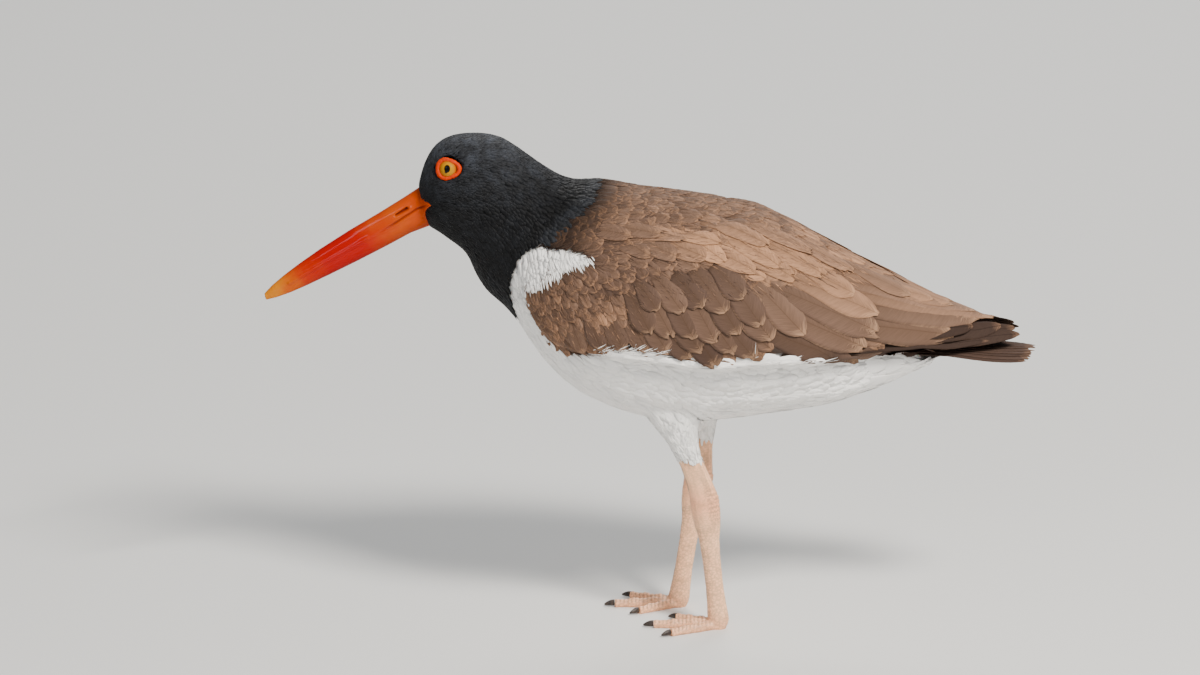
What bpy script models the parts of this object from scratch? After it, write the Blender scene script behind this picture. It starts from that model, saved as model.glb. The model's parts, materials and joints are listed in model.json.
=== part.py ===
# A life-size American oystercatcher, wading, with its head drawn in and its bill held low.
#
# The bird faces -X with its left side towards -Y, and stands on the floor at Z = 0. Its sizes are
# given from a point under the thighs, and the whole bird is then moved forwards or back until the
# origin lies below the middle of its length.
# The body is a loft through named cross-sections, parted into head, neck and trunk by thin planes.
# Each wing lies on the trunk as a shell, and every piece keeps a small gap to its neighbours.
import math

import bmesh
import bpy
from mathutils import Matrix, Vector

# Driving dimensions, in millimetres.
MM = 0.001
GAP = 0.3  # clearance between neighbouring pieces
BODY_SIDES = 24  # facets round the body
LIMB_SIDES = 14  # facets round a leg
TOE_SIDES = 10
TIP_SIDES = 10
SECTION_STEPS = 2  # steps from one named cross-section to the next
FULLNESS = 0.9  # power of the body's oval section: 1 is an ellipse, less is boxier

# Cross-sections of the body under the folded wings: back point, belly point (X, Z) and half width.
BODY = [
    ((-132.0, 218.5), (-127.0, 198.5), 7.6),  # bill seat
    ((-129.4, 228.6), (-123.5, 197.0), 12.5),  # forehead
    ((-124.4, 238.0), (-119.0, 193.8), 15.6),  # brow
    ((-116.2, 243.4), (-114.5, 190.4), 17.2),  # eyes
    ((-103.5, 244.8), (-108.4, 185.0), 18.2),  # crown
    ((-91.2, 242.4), (-104.4, 175.5), 19.4),  # hind crown
    ((-78.3, 233.4), (-98.9, 166.5), 21.8),  # nape
    ((-65.7, 224.5), (-90.0, 158.9), 26.5),  # base of the neck
    ((-55.0, 220.5), (-82.0, 148.8), 33.0),  # breast
    ((-42.5, 221.0), (-72.0, 133.8), 39.5),  # shoulders
    ((-25.0, 217.5), (-53.3, 116.3), 44.5),  # mantle
    ((-0.5, 214.5), (-21.5, 104.0), 46.5),  # deepest part
    ((24.0, 209.5), (7.5, 102.0), 45.5),  # middle of the back
    ((48.5, 196.5), (39.0, 106.0), 40.0),  # rump
    ((73.0, 177.5), (68.5, 110.5), 31.0),  # end of the flanks
    ((93.0, 157.5), (95.0, 120.0), 20.0),  # vent
    ((106.0, 143.0), (119.5, 131.5), 12.0),  # seat of the tail
]
NECK_STARTS, TRUNK_STARTS = 5.5, 7.5  # where the body is parted, counted in sections

# Cross-sections over the folded wings. The first two lie close to the body's own.
WINGS = [
    ((-65.7, 224.5), (-90.0, 158.9), 28.0),  # base of the neck
    ((-55.0, 220.5), (-82.0, 148.8), 37.0),  # breast
    ((-42.5, 221.0), (-71.8, 134.2), 44.5),  # bend of the wings
    ((-25.0, 217.5), (-53.0, 116.6), 50.0),  # lesser coverts
    ((-0.5, 214.5), (-21.5, 104.5), 52.5),  # widest part
    ((24.0, 211.5), (7.5, 102.0), 52.0),  # greater coverts
    ((48.5, 200.5), (39.0, 106.0), 47.5),  # bases of the tertials
    ((73.0, 186.5), (68.5, 111.0), 39.5),  # secondaries
    ((97.5, 173.8), (95.0, 120.5), 29.5),  # rump under the tertials
    ((119.5, 161.5), (116.0, 131.5), 20.5),  # middle of the tertials
    ((141.0, 153.5), (135.0, 139.0), 12.5),  # tips of the tertials
    ((150.0, 149.0), (146.0, 140.0), 8.0),
]
# Side outline of one folded wing (X, Z), from the bend along the lower edge to the tips and back.
WING_OUTLINE = [
    (-82.0, 180.0), (-80.0, 167.0), (-73.5, 155.0), (-63.0, 147.5), (-48.0, 144.5), (-19.0, 142.5),
    (12.0, 138.5), (34.0, 140.5), (58.0, 139.5), (84.0, 142.0), (105.0, 144.0), (124.0, 147.0),
    (133.0, 150.0), (140.5, 154.5), (147.0, 162.0), (120.0, 190.0), (70.0, 210.0), (30.0, 208.0),
    (-5.0, 201.0), (-40.0, 197.0), (-66.0, 193.0), (-78.0, 189.0),
]
WING_REACH = 70.0  # how far a wing's cutting outline runs out from the middle

# The wing tip: the closed stack of primaries that shows behind and under the tertials. For each place
# along X: distance from the middle and height of the lower edge, the same of the upper edge.
WING_TIP = [
    (84.0, (27.4, 138.2), (27.2, 141.0)),
    (97.0, (25.4, 139.2), (23.6, 142.2)),
    (113.0, (21.4, 141.0), (15.6, 144.4)),
    (130.0, (17.6, 142.6), (9.0, 147.6)),
    (143.0, (14.4, 143.4), (4.6, 151.8)),
    (152.0, (11.6, 143.8), (3.2, 150.6)),
    (158.5, (8.6, 144.4), (3.4, 148.4)),
    (161.0, (6.8, 145.4), (4.2, 147.2)),
]
TIP_THICKNESS = 2.4

# The tail: X, Z on the middle line, half width, half thickness.
TAIL = [
    (115.0, 137.5, 11.0, 2.6),
    (125.0, 138.2, 14.5, 2.2),
    (140.0, 137.2, 18.0, 1.8),
    (155.0, 136.0, 20.5, 1.5),
    (162.0, 135.4, 19.5, 1.3),
    (166.5, 135.0, 14.5, 1.1),
    (168.0, 134.8, 9.0, 0.9),
]
TAIL_ARCH = 3.0  # how far the outer feathers hang below the middle ones
TAIL_FULLNESS = 0.8
TAIL_SEAT = ((112.0, 150.0), (124.5, 128.0))  # the slanted cut where the tail meets the body
TAIL_SEAT_CUTTER = (30.0, 30.0)  # how far the cutter runs forwards, and out to each side

# The bill: upper edge and lower edge (X, Z) of each half, and half width.
UPPER_BILL = [
    ((-132.6, 218.3), (-129.9, 207.6), 6.4),  # feathered base
    ((-141.5, 211.7), (-140.5, 201.5), 5.4),  # nostrils
    ((-151.3, 204.9), (-150.3, 195.7), 4.6),
    ((-166.0, 196.0), (-165.0, 187.7), 4.0),
    ((-180.6, 186.4), (-179.6, 179.3), 3.6),
    ((-190.3, 179.4), (-189.4, 173.2), 3.1),
    ((-197.8, 173.6), (-197.0, 168.6), 2.5),
    ((-203.6, 168.5), (-203.0, 165.2), 1.8),
    ((-207.4, 164.4), (-207.2, 162.9), 1.0),  # tip
]
LOWER_BILL = [
    ((-129.8, 207.2), (-127.4, 198.8), 6.2),
    ((-140.4, 201.1), (-136.8, 195.0), 5.2),
    ((-150.2, 195.3), (-146.6, 189.3), 4.4),
    ((-164.9, 187.3), (-161.2, 181.5), 3.8),
    ((-179.5, 178.9), (-176.0, 174.0), 3.3),
    ((-189.2, 172.8), (-186.4, 168.9), 2.8),
    ((-196.8, 168.2), (-194.4, 165.3), 2.3),
    ((-202.8, 164.8), (-201.4, 162.7), 1.6),
    ((-207.0, 162.5), (-206.6, 161.3), 0.9),
]

BILL_FULLNESS = 0.8

# The eye on the left side; the right one is its mirror image.
EYE_AT = Vector((-117.2, -10.6, 230.4))
EYE_RADIUS = 5.8
EYE_UP = math.radians(10)  # the eyes look a little upwards
EYE_FORWARD = math.radians(7)  # and a little forwards
LID_LENGTH, LID_HEIGHT = 5.25, 4.45  # half axes of the bare ring round the eye
LID_THICK = 1.25
LID_SITS = 3.9  # distance of the ring's plane from the centre of the eye

# Legs: for each side, the sections (X, Z, half length along X, half width along Y) downwards.
LEG_APART = 19.0  # from the middle of the body
THIGHS = {
    "left": [(-12.0, 122.0, 17.0, 11.0), (-9.0, 108.0, 12.6, 10.0), (-5.4, 99.0, 9.2, 8.2),
             (-2.8, 92.5, 7.0, 6.4), (-1.6, 88.6, 6.2, 5.6)],
    "right": [(0.5, 120.0, 16.0, 11.0), (3.2, 106.0, 12.0, 10.0), (4.9, 97.5, 9.0, 8.0),
              (5.6, 92.0, 7.2, 6.4), (5.9, 88.6, 6.3, 5.6)],
}
SHINS = {
    "left": [(-1.4, 88.2, 6.0, 5.0), (1.6, 81.9, 6.0, 4.4), (4.7, 73.8, 6.4, 4.6), (6.8, 67.2, 7.0, 5.1)],
    "right": [(5.9, 88.2, 6.1, 5.0), (5.3, 81.0, 6.0, 4.4), (5.0, 73.8, 6.3, 4.6), (4.7, 67.2, 6.9, 5.1)],
}
HEEL = {"left": (7.2, 64.6), "right": (4.5, 64.6)}
FOOT_JOINT = {"left": (14.0, 5.0), "right": (-5.0, 5.0)}
# Half length and half width of the shank at shares of the way from the heel to the foot joint.
SHANK = [(-0.038, 7.1, 5.2), (0.09, 7.0, 5.2), (0.20, 6.3, 4.6), (0.32, 4.9, 3.7), (0.50, 4.3, 3.2),
         (0.74, 4.2, 3.1), (0.90, 4.7, 3.7), (1.0, 5.2, 4.6)]
SOLE_SIZE = (3.6, 3.2)  # half length and half width of the flat under the foot joint
PAD_BULGE = 1.3  # how much wider than its flat the sole's pad is

FLOOR_CUTTER = (80.0, 60.0, 20.0)  # half length, half width and depth of what cuts the toes flat

# Toes: angle from straight ahead (outwards is positive), length to the claw, first and last radius.
TOES = {
    "inner": (-34.0, 24.0, 2.7, 1.9),
    "middle": (-2.0, 31.5, 2.9, 2.0),
    "outer": (30.0, 27.0, 2.7, 1.9),
}
TOE_STARTS = 3.0  # from the foot joint
TOE_SUNK = 0.22  # share of a toe's radius that the floor flattens
PAD_SWELL = 0.10  # swelling of the pads under the toe joints
PADS = 3
CLAW_LENGTH = 5.0
CLAW = ((0.0, 0.80), (0.35, 0.72), (0.7, 0.5), (1.0, 0.22))  # shares of its length, and of the toe's radius
CLAW_SIDES = 7
CLAW_NARROW = 0.8  # width over height
CLAW_RISE, CLAW_DROP = 1.05, 0.45  # height of its root, and how far it curves down, in toe radii


def spline(rows, at):
    """The value of a smooth curve through rows of numbers, at a place counted in rows."""
    last = len(rows) - 1
    i = min(int(at), last - 1)
    t = at - i
    before, start, end, after = (rows[min(max(k, 0), last)] for k in (i - 1, i, i + 1, i + 2))
    return [
        0.5 * (2 * b + (c - a) * t + (2 * a - 5 * b + 4 * c - d) * t**2 + (3 * b - a - 3 * c + d) * t**3)
        for a, b, c, d in zip(before, start, end, after)
    ]


def steps(first, last, per_row):
    """Places from first to last, per_row of them to a row, both ends included."""
    count = max(1, round((last - first) * per_row))
    return [first + (last - first) * k / count for k in range(count + 1)]


def material(name, colour, roughness):
    made = bpy.data.materials.new(name)
    made.use_nodes = True
    shader = made.node_tree.nodes["Principled BSDF"]
    shader.inputs["Base Color"].default_value = (*colour, 1.0)
    shader.inputs["Roughness"].default_value = roughness
    shader.inputs["Metallic"].default_value = 0.0
    made.diffuse_color = (*colour, 1.0)
    return made


def new_object(name, mesh, look, group):
    made = bpy.data.objects.new(name, mesh)
    group.objects.link(made)
    if look:
        mesh.materials.append(look)
    mesh.shade_smooth()
    mesh.set_sharp_from_angle(angle=math.radians(40))
    return made


def loft(name, rings, look, group):
    """A closed solid through rings of points in millimetres, with flat ends.

    Its four-sided faces are split the same way on both sides, so that a grown copy stays parallel to it.
    """
    made = bmesh.new()
    loops = [[made.verts.new(Vector(p) * MM) for p in ring] for ring in rings]
    sides = len(rings[0])
    for one, two in zip(loops, loops[1:]):
        for k in range(sides):
            a, b, c, d = one[k], one[(k + 1) % sides], two[(k + 1) % sides], two[k]
            for corners in ((a, b, c), (a, c, d)) if 2 * k < sides else ((a, b, d), (b, c, d)):
                made.faces.new(corners)
    made.faces.new(loops[0])
    made.faces.new(loops[-1])
    bmesh.ops.recalc_face_normals(made, faces=made.faces)
    mesh = bpy.data.meshes.new(name)
    made.to_mesh(mesh)
    made.free()
    return new_object(name, mesh, look, group)


def prism(name, outline, near, far, look, group):
    """A flat outline (X, Z) carried from Y = near to Y = far, all in millimetres."""
    made = bmesh.new()
    face = made.faces.new([made.verts.new((x * MM, near * MM, z * MM)) for x, z in outline])
    carried = bmesh.ops.extrude_face_region(made, geom=[face])["geom"]
    moved = [v for v in carried if isinstance(v, bmesh.types.BMVert)]
    bmesh.ops.translate(made, vec=(0, (far - near) * MM, 0), verts=moved)
    bmesh.ops.recalc_face_normals(made, faces=made.faces)
    mesh = bpy.data.meshes.new(name)
    made.to_mesh(mesh)
    made.free()
    return new_object(name, mesh, look, group)


def rounded(outline, per_point):
    """A closed smooth curve through the outline's points."""
    ring = [outline[-1], *outline, *outline[:2]]
    places = steps(1, len(outline) + 1, per_point)[:-1]
    return [tuple(spline(ring, place)) for place in places]


def change(body, operation, other):
    """Cuts a body with another object, joins it, or keeps what they share."""
    cut = body.modifiers.new(operation.lower(), "BOOLEAN")
    cut.operation = operation
    cut.solver = "EXACT"
    cut.object = other


def oval(half_up, half_out, share, fullness):
    """A point of a body's cross-section, share of the way round from the back, as (up, out)."""
    turn = 2 * math.pi * share
    out = math.sin(turn)
    return half_up * math.cos(turn), half_out * math.copysign(abs(out) ** fullness, out)


def body_ring(sections, at, grow=0.0, shift=0.0):
    """The body's ring at a place counted in sections, grown outwards and shifted along the body."""
    flat = [(*back, *belly, half) for back, belly, half in sections]
    back_x, back_z, belly_x, belly_z, half = spline(flat, at)
    back, belly = Vector((back_x, 0, back_z)), Vector((belly_x, 0, belly_z))
    middle, up = (back + belly) / 2, (back - belly).normalized()
    along = Vector((0, 1, 0)).cross(up)
    reach = (back - belly).length / 2 + grow
    ring = []
    for k in range(BODY_SIDES):
        rise, out = oval(reach, half + grow, k / BODY_SIDES, FULLNESS)
        ring.append(middle + up * rise + Vector((0, out, 0)) + along * shift)
    return ring


def body_loft(name, sections, first, last, look, group, grow=0.0, shifts=(0.0, 0.0)):
    places = steps(first, last, SECTION_STEPS)
    moved = [shifts[0]] + [0.0] * (len(places) - 2) + [shifts[1]]
    rings = [body_ring(sections, place, grow, shift) for place, shift in zip(places, moved)]
    return loft(name, rings, look, group)


def head_neck_and_trunk(looks, group):
    """The three lengths of the body, with a gap at each parting plane."""
    half_gap, end = GAP / 2, len(BODY) - 1
    head = body_loft("head", BODY, 0, NECK_STARTS, looks["black"], group, shifts=(0, -half_gap))
    neck = body_loft(
        "neck", BODY, NECK_STARTS, TRUNK_STARTS, looks["black"], group, shifts=(half_gap, -half_gap)
    )
    trunk = body_loft("trunk", BODY, TRUNK_STARTS, end, looks["white"], group, shifts=(half_gap, 0))
    return head, neck, trunk


def bill_half(name, sections, top, look, group):
    """One half of the bill. Its section is a half oval, flat where the two halves meet."""
    flat = [(*high, *low, half) for high, low, half in sections]
    rings = []
    for place in steps(0, len(sections) - 1, 1):
        high_x, high_z, low_x, low_z, half = spline(flat, place)
        high, low = Vector((high_x, 0, high_z)), Vector((low_x, 0, low_z))
        root, tip = (low, high) if top else (high, low)
        ring = []
        for k in range(LIMB_SIDES):
            turn = math.pi * (k / (LIMB_SIDES - 1) - 0.5)
            out = math.copysign(abs(math.sin(turn)) ** BILL_FULLNESS, turn)
            ring.append(root + (tip - root) * math.cos(turn) + Vector((0, half * out, 0)))
        rings.append(ring)
    return loft(name, rings, look, group)


def eye_place(side):
    """The matrix that puts a piece made round +Z where the eye is, looking outwards."""
    sign = -1 if side == "left" else 1
    look = Vector((
        -math.sin(EYE_FORWARD),
        sign * math.cos(EYE_FORWARD) * math.cos(EYE_UP),
        math.sin(EYE_UP),
    ))
    turn = look.to_track_quat("Z", "Y").to_matrix().to_4x4()
    return Matrix.Translation(Vector((EYE_AT.x, -sign * EYE_AT.y, EYE_AT.z)) * MM) @ turn


def eyeball(name, side, grow, look, group):
    made = bmesh.new()
    bmesh.ops.create_uvsphere(made, u_segments=16, v_segments=8, radius=(EYE_RADIUS + grow) * MM)
    mesh = bpy.data.meshes.new(name)
    made.to_mesh(mesh)
    made.free()
    mesh.transform(eye_place(side))
    return new_object(name, mesh, look, group)


def eyelid(name, side, grow, look, group):
    """The bare ring round the eye: an oval hoop."""
    bpy.ops.mesh.primitive_torus_add(
        major_segments=20, minor_segments=8, major_radius=LID_LENGTH * MM, minor_radius=(LID_THICK + grow) * MM
    )
    hoop = bpy.context.object
    mesh = hoop.data
    bpy.data.objects.remove(hoop)
    flatter = Matrix.Diagonal((LID_HEIGHT / LID_LENGTH, 1, 1, 1))
    mesh.transform(eye_place(side) @ Matrix.Translation((0, 0, LID_SITS * MM)) @ flatter)
    return new_object(name, mesh, look, group)


def eyes(head, looks, group, cutters):
    """Both eyes in their sockets, each inside its ring of bare skin."""
    for side in ("left", "right"):
        eyeball("eye_" + side, side, 0.0, looks["iris"], group)
        ring = eyelid("eye_ring_" + side, side, 0.0, looks["eye ring"], group)
        ball_cutter = eyeball("cut_eye_" + side, side, GAP, None, cutters)
        ring_cutter = eyelid("cut_ring_" + side, side, GAP, None, cutters)
        change(ring, "DIFFERENCE", ball_cutter)
        change(head, "DIFFERENCE", ring_cutter)
        change(head, "DIFFERENCE", ball_cutter)


def wings(looks, group, cutters):
    """Each folded wing: the shell between the body and the outline over the wings."""
    body_cutter = body_loft("cut_body", BODY, 5, len(BODY) - 1, None, cutters, GAP, (0, GAP))
    outline = rounded(WING_OUTLINE, 2)
    for side, sign in (("left", -1), ("right", 1)):
        wing = body_loft("wing_" + side, WINGS, 0, len(WINGS) - 1, looks["brown"], group)
        near, far = sorted((sign * GAP / 2, sign * WING_REACH))
        kept = prism("keep_wing_" + side, outline, near, far, None, cutters)
        change(wing, "INTERSECT", kept)
        change(wing, "DIFFERENCE", body_cutter)


def wing_tips(looks, group):
    """The primaries: a thin blade behind and under each wing, leaning inwards like a roof."""
    rows = [(x, *low, *high) for x, low, high in WING_TIP]
    for side, sign in (("left", -1), ("right", 1)):
        rings = []
        for place in steps(0, len(rows) - 1, SECTION_STEPS):
            x, low_y, low_z, high_y, high_z = spline(rows, place)
            low, high = Vector((x, sign * low_y, low_z)), Vector((x, sign * high_y, high_z))
            across = (high - low).normalized()
            outwards = Vector((1, 0, 0)).cross(across) * TIP_THICKNESS / 2
            ring = []
            for k in range(TIP_SIDES):
                turn = 2 * math.pi * k / TIP_SIDES
                ring.append((low + high) / 2 + (high - low) / 2 * math.cos(turn) + outwards * math.sin(turn))
            rings.append(ring)
        loft("primaries_" + side, rings, looks["dark brown"], group)


def tail(looks, group, cutters):
    """The closed tail: a thin fan, lower at its sides, cut on a slant where the body ends."""
    rings = []
    widest = max(half for _, _, half, _ in TAIL)
    for x, z, half, thick in TAIL:
        ring = []
        for k in range(BODY_SIDES):
            rise, out = oval(thick, half, k / BODY_SIDES, TAIL_FULLNESS)
            ring.append(Vector((x, out, z + rise - TAIL_ARCH * (out / widest) ** 2)))
        rings.append(ring)
    fan = loft("tail", rings, looks["dark brown"], group)
    (top_x, top_z), (low_x, low_z) = TAIL_SEAT
    ahead, wide = TAIL_SEAT_CUTTER
    seat = [(top_x, top_z), (low_x, low_z), (low_x - ahead, low_z), (top_x - ahead, top_z)]
    change(fan, "DIFFERENCE", prism("cut_tail_seat", seat, -wide, wide, None, cutters))


def level_ring(x, y, z, half_x, half_y):
    """A level ring of a leg."""
    turns = [2 * math.pi * k / LIMB_SIDES for k in range(LIMB_SIDES)]
    return [Vector((x + half_x * math.cos(turn), y + half_y * math.sin(turn), z)) for turn in turns]


def thigh(side, y, body_cutter, looks, group):
    rings = [level_ring(x, y, z, half_x, half_y) for x, z, half_x, half_y in THIGHS[side]]
    made = loft("thigh_" + side, rings, looks["white"], group)
    change(made, "DIFFERENCE", body_cutter)


def shin(side, y, looks, group):
    rings = [level_ring(x, y, z, half_x, half_y) for x, z, half_x, half_y in SHINS[side]]
    loft("shin_" + side, rings, looks["leg"], group)


def shank_rings(side, y, grow):
    """Rings from the heel down to the foot joint, and on to the flat sole under it."""
    (heel_x, heel_z), (foot_x, foot_z) = HEEL[side], FOOT_JOINT[side]
    rings = []
    for share, half_x, half_y in SHANK:
        x, z = heel_x + (foot_x - heel_x) * share, heel_z + (foot_z - heel_z) * share
        rings.append(level_ring(x, y, z, half_x + grow, half_y + grow))
    half_x, half_y = SOLE_SIZE
    pad_x, pad_y = half_x * PAD_BULGE, half_y * PAD_BULGE
    rings.append(level_ring(foot_x, y, foot_z / 2, pad_x + grow, pad_y + grow))
    rings.append(level_ring(foot_x, y, -grow, half_x + grow, half_y + grow))
    return rings


def toe_rings(start, ahead, length, first, last, grow):
    """Rings along a toe. Its underside, below the floor's level here, is cut off afterwards."""
    across = Vector((-ahead.y, ahead.x, 0))
    rings = []
    count = 3 * PADS
    for k in range(count + 1):
        share = k / count
        swell = 1 + PAD_SWELL * math.cos(2 * math.pi * PADS * share)
        radius = (first + (last - first) * share) * swell
        middle = start + ahead * (length * share) + Vector((0, 0, radius * (1 - TOE_SUNK)))
        radius += grow
        ring = []
        for j in range(TOE_SIDES):
            turn = 2 * math.pi * (j + 0.5) / TOE_SIDES
            ring.append(middle + across * radius * math.cos(turn) + Vector((0, 0, radius * math.sin(turn))))
        rings.append(ring)
    return rings


def claw_rings(tip, ahead, radius):
    """Rings of a short blunt claw that curves down to the floor."""
    across = Vector((-ahead.y, ahead.x, 0))
    rings = []
    for share, size in CLAW:
        high = radius * (CLAW_RISE - CLAW_DROP * share**2)
        middle = tip + ahead * (GAP + CLAW_LENGTH * share) + Vector((0, 0, high))
        ring = []
        for j in range(CLAW_SIDES):
            turn = 2 * math.pi * j / CLAW_SIDES
            side = across * radius * size * CLAW_NARROW * math.cos(turn)
            ring.append(middle + side + Vector((0, 0, radius * size * math.sin(turn))))
        rings.append(ring)
    return rings


def foot(side, y, looks, group, cutters):
    """The shank with its sole, three toes that spread from its foot, and their claws."""
    outwards = -1 if side == "left" else 1
    loft("shank_" + side, shank_rings(side, y, 0.0), looks["leg"], group)
    shank_cutter = loft("cut_shank_" + side, shank_rings(side, y, GAP), None, cutters)
    floor = bpy.data.objects["cut_floor"]
    joint = Vector((FOOT_JOINT[side][0], y, 0))
    middle_cutter = None
    for name in ("middle", "inner", "outer"):
        angle, length, first, last = TOES[name]
        turn = math.radians(angle)
        ahead = Vector((-math.cos(turn), outwards * math.sin(turn), 0))
        start = joint + ahead * TOE_STARTS
        length -= TOE_STARTS
        toe_name = f"toe_{name}_{side}"
        toe = loft(toe_name, toe_rings(start, ahead, length, first, last, 0.0), looks["leg"], group)
        change(toe, "DIFFERENCE", shank_cutter)
        change(toe, "DIFFERENCE", floor)
        if name == "middle":
            grown = toe_rings(start, ahead, length, first, last, GAP)
            middle_cutter = loft("cut_" + toe_name, grown, None, cutters)
        else:
            change(toe, "DIFFERENCE", middle_cutter)
        loft(f"claw_{name}_{side}", claw_rings(start + ahead * length, ahead, last), looks["claw"], group)


def legs(looks, group, cutters):
    body_cutter = bpy.data.objects["cut_body"]
    long, wide, deep = FLOOR_CUTTER
    below = [(-long, 0), (long, 0), (long, -deep), (-long, -deep)]
    prism("cut_floor", below, -wide, wide, None, cutters)
    for side, sign in (("left", -1), ("right", 1)):
        y = sign * LEG_APART
        thigh(side, y, body_cutter, looks, group)
        shin(side, y, looks, group)
        foot(side, y, looks, group, cutters)


def main():
    for old in list(bpy.data.objects):
        bpy.data.objects.remove(old)
    group = bpy.data.collections.new("oystercatcher")
    cutters = bpy.data.collections.new("cutters")
    for made in (group, cutters):
        bpy.context.scene.collection.children.link(made)
    looks = {
        "black": material("black plumage", (0.012, 0.012, 0.014), 0.55),
        "white": material("white plumage", (0.80, 0.79, 0.76), 0.75),
        "brown": material("brown plumage", (0.19, 0.11, 0.075), 0.65),
        "dark brown": material("dark brown quills", (0.045, 0.030, 0.025), 0.55),
        "bill": material("orange-red horn", (0.85, 0.10, 0.01), 0.30),
        "iris": material("yellow iris", (0.90, 0.50, 0.02), 0.10),
        "eye ring": material("orange-red bare skin", (0.85, 0.12, 0.01), 0.40),
        "leg": material("pale pink scaled skin", (0.78, 0.55, 0.42), 0.50),
        "claw": material("black claws", (0.03, 0.025, 0.02), 0.35),
    }
    head, _, _ = head_neck_and_trunk(looks, group)
    bill_half("bill_upper", UPPER_BILL, True, looks["bill"], group)
    bill_half("bill_lower", LOWER_BILL, False, looks["bill"], group)
    eyes(head, looks, group, cutters)
    wings(looks, group, cutters)
    wing_tips(looks, group)
    tail(looks, group, cutters)
    legs(looks, group, cutters)
    for cutter in cutters.objects:
        cutter.hide_render = True
        cutter.display_type = "WIRE"
    middle = (UPPER_BILL[-1][0][0] + TAIL[-1][0]) / 2
    stand = bpy.data.objects.new("standing_place", None)
    group.objects.link(stand)
    stand.location.x = -middle * MM
    for made in (*group.objects, *cutters.objects):
        if made is not stand:
            made.parent = stand


main()
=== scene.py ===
# A life-size still model of an American oystercatcher: feathers, bare skin, bill and eyes over the solids.
#
# The plumage is laid like real feathers: each one is a thin closed vane whose root sits on the skin and
# whose tip lies on the outline of the solids, combed the way the bird's own feathers lie.
import json
import math

import bmesh
import bpy
import numpy as np
from mathutils import Matrix, Vector, noise
from mathutils.bvhtree import BVHTree
from mathutils.kdtree import KDTree

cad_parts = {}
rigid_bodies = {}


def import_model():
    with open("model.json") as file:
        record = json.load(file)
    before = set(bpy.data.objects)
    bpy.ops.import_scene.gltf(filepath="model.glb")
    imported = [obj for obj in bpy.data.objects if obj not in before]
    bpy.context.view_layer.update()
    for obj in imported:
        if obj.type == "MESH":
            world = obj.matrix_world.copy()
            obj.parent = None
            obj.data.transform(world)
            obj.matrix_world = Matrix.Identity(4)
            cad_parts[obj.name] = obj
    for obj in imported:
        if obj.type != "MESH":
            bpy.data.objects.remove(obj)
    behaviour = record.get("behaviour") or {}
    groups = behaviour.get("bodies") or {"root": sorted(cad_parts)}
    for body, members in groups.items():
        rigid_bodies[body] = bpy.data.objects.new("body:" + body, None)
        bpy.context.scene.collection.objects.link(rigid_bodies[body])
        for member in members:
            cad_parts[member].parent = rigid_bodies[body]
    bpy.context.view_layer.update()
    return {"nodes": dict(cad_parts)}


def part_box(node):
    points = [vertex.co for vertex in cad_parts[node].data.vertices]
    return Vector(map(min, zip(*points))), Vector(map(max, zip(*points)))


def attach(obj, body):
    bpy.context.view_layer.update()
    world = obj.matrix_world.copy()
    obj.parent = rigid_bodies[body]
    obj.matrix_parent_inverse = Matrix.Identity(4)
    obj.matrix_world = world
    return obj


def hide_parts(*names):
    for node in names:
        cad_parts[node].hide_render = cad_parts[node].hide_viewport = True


for leftover in list(bpy.data.objects):
    bpy.data.objects.remove(leftover)
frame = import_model()
nodes = frame["nodes"]
mm = 0.001
sides = {"left": -1, "right": 1}  # which way each side of the bird lies along Y

# The side view that places are read off: 1200 by 675 pixels, seen from the left and a little above.
sideView = {"scale": 0.488, "zeroAcross": 649.63, "floorDown": 619.0, "tilt": math.radians(15)}
tiltSin, tiltCos = math.sin(sideView["tilt"]), math.cos(sideView["tilt"])


def linear(hexColour):
    channels = [int(hexColour[k:k + 2], 16) / 255 for k in (1, 3, 5)]
    return np.array([c / 12.92 if c <= 0.04045 else ((c + 0.055) / 1.055) ** 2.4 for c in channels])


def unit(vectors):
    return vectors / np.maximum(np.linalg.norm(vectors, axis=-1, keepdims=True), 1e-12)


def smoothStep(low, high, values):
    t = np.clip((values - low) / (high - low), 0, 1)
    return t * t * (3 - 2 * t)


def fromSegment(place, start, end):
    start, end = np.array(start, float), np.array(end, float)
    step = end - start
    t = np.clip(((place - start) @ step) / (step @ step), 0, 1)
    return np.linalg.norm(place - (start + t[:, None] * step), axis=1)


def onView(points):
    # where points of either side of the bird show on the side view, in its pixels
    across = points[:, 0] / mm / sideView["scale"] + sideView["zeroAcross"]
    up = points[:, 2] * tiltCos - np.abs(points[:, 1]) * tiltSin
    return np.stack([across, sideView["floorDown"] - up / mm / sideView["scale"]], 1)


def addNode(tree, kind, inputs=(), **settings):
    made = tree.nodes.new("ShaderNode" + kind)
    for name, value in settings.items():
        setattr(made, name, value)
    for name, value in dict(inputs).items():
        if isinstance(value, bpy.types.NodeSocket):
            tree.links.new(value, made.inputs[name])
        else:
            made.inputs[name].default_value = value
    return made


def newMaterial(name, **sockets):
    made = bpy.data.materials.new(name)
    made.use_nodes = True
    shader = made.node_tree.nodes["Principled BSDF"]
    for socket, value in sockets.items():
        shader.inputs[socket.replace("_", " ")].default_value = value
    return made, made.node_tree, shader


def newPiece(name, mesh, material, slot, *stoodFor):
    made = bpy.data.objects.new(name, mesh)
    bpy.context.scene.collection.objects.link(made)
    mesh.materials.clear()
    mesh.materials.append(material)
    mesh.shade_smooth()
    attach(made, "root")
    if stoodFor:
        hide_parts(*stoodFor)
    return made


def meshArrays(mesh):
    count = len(mesh.vertices)
    places, normals = np.empty(count * 3, np.float32), np.empty(count * 3, np.float32)
    mesh.vertices.foreach_get("co", places)
    mesh.vertices.foreach_get("normal", normals)
    return places.reshape(-1, 3).astype(float), normals.reshape(-1, 3).astype(float)


def movedTo(mesh, places):
    mesh.vertices.foreach_set("co", places.astype(np.float32).ravel())
    mesh.update()


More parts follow.
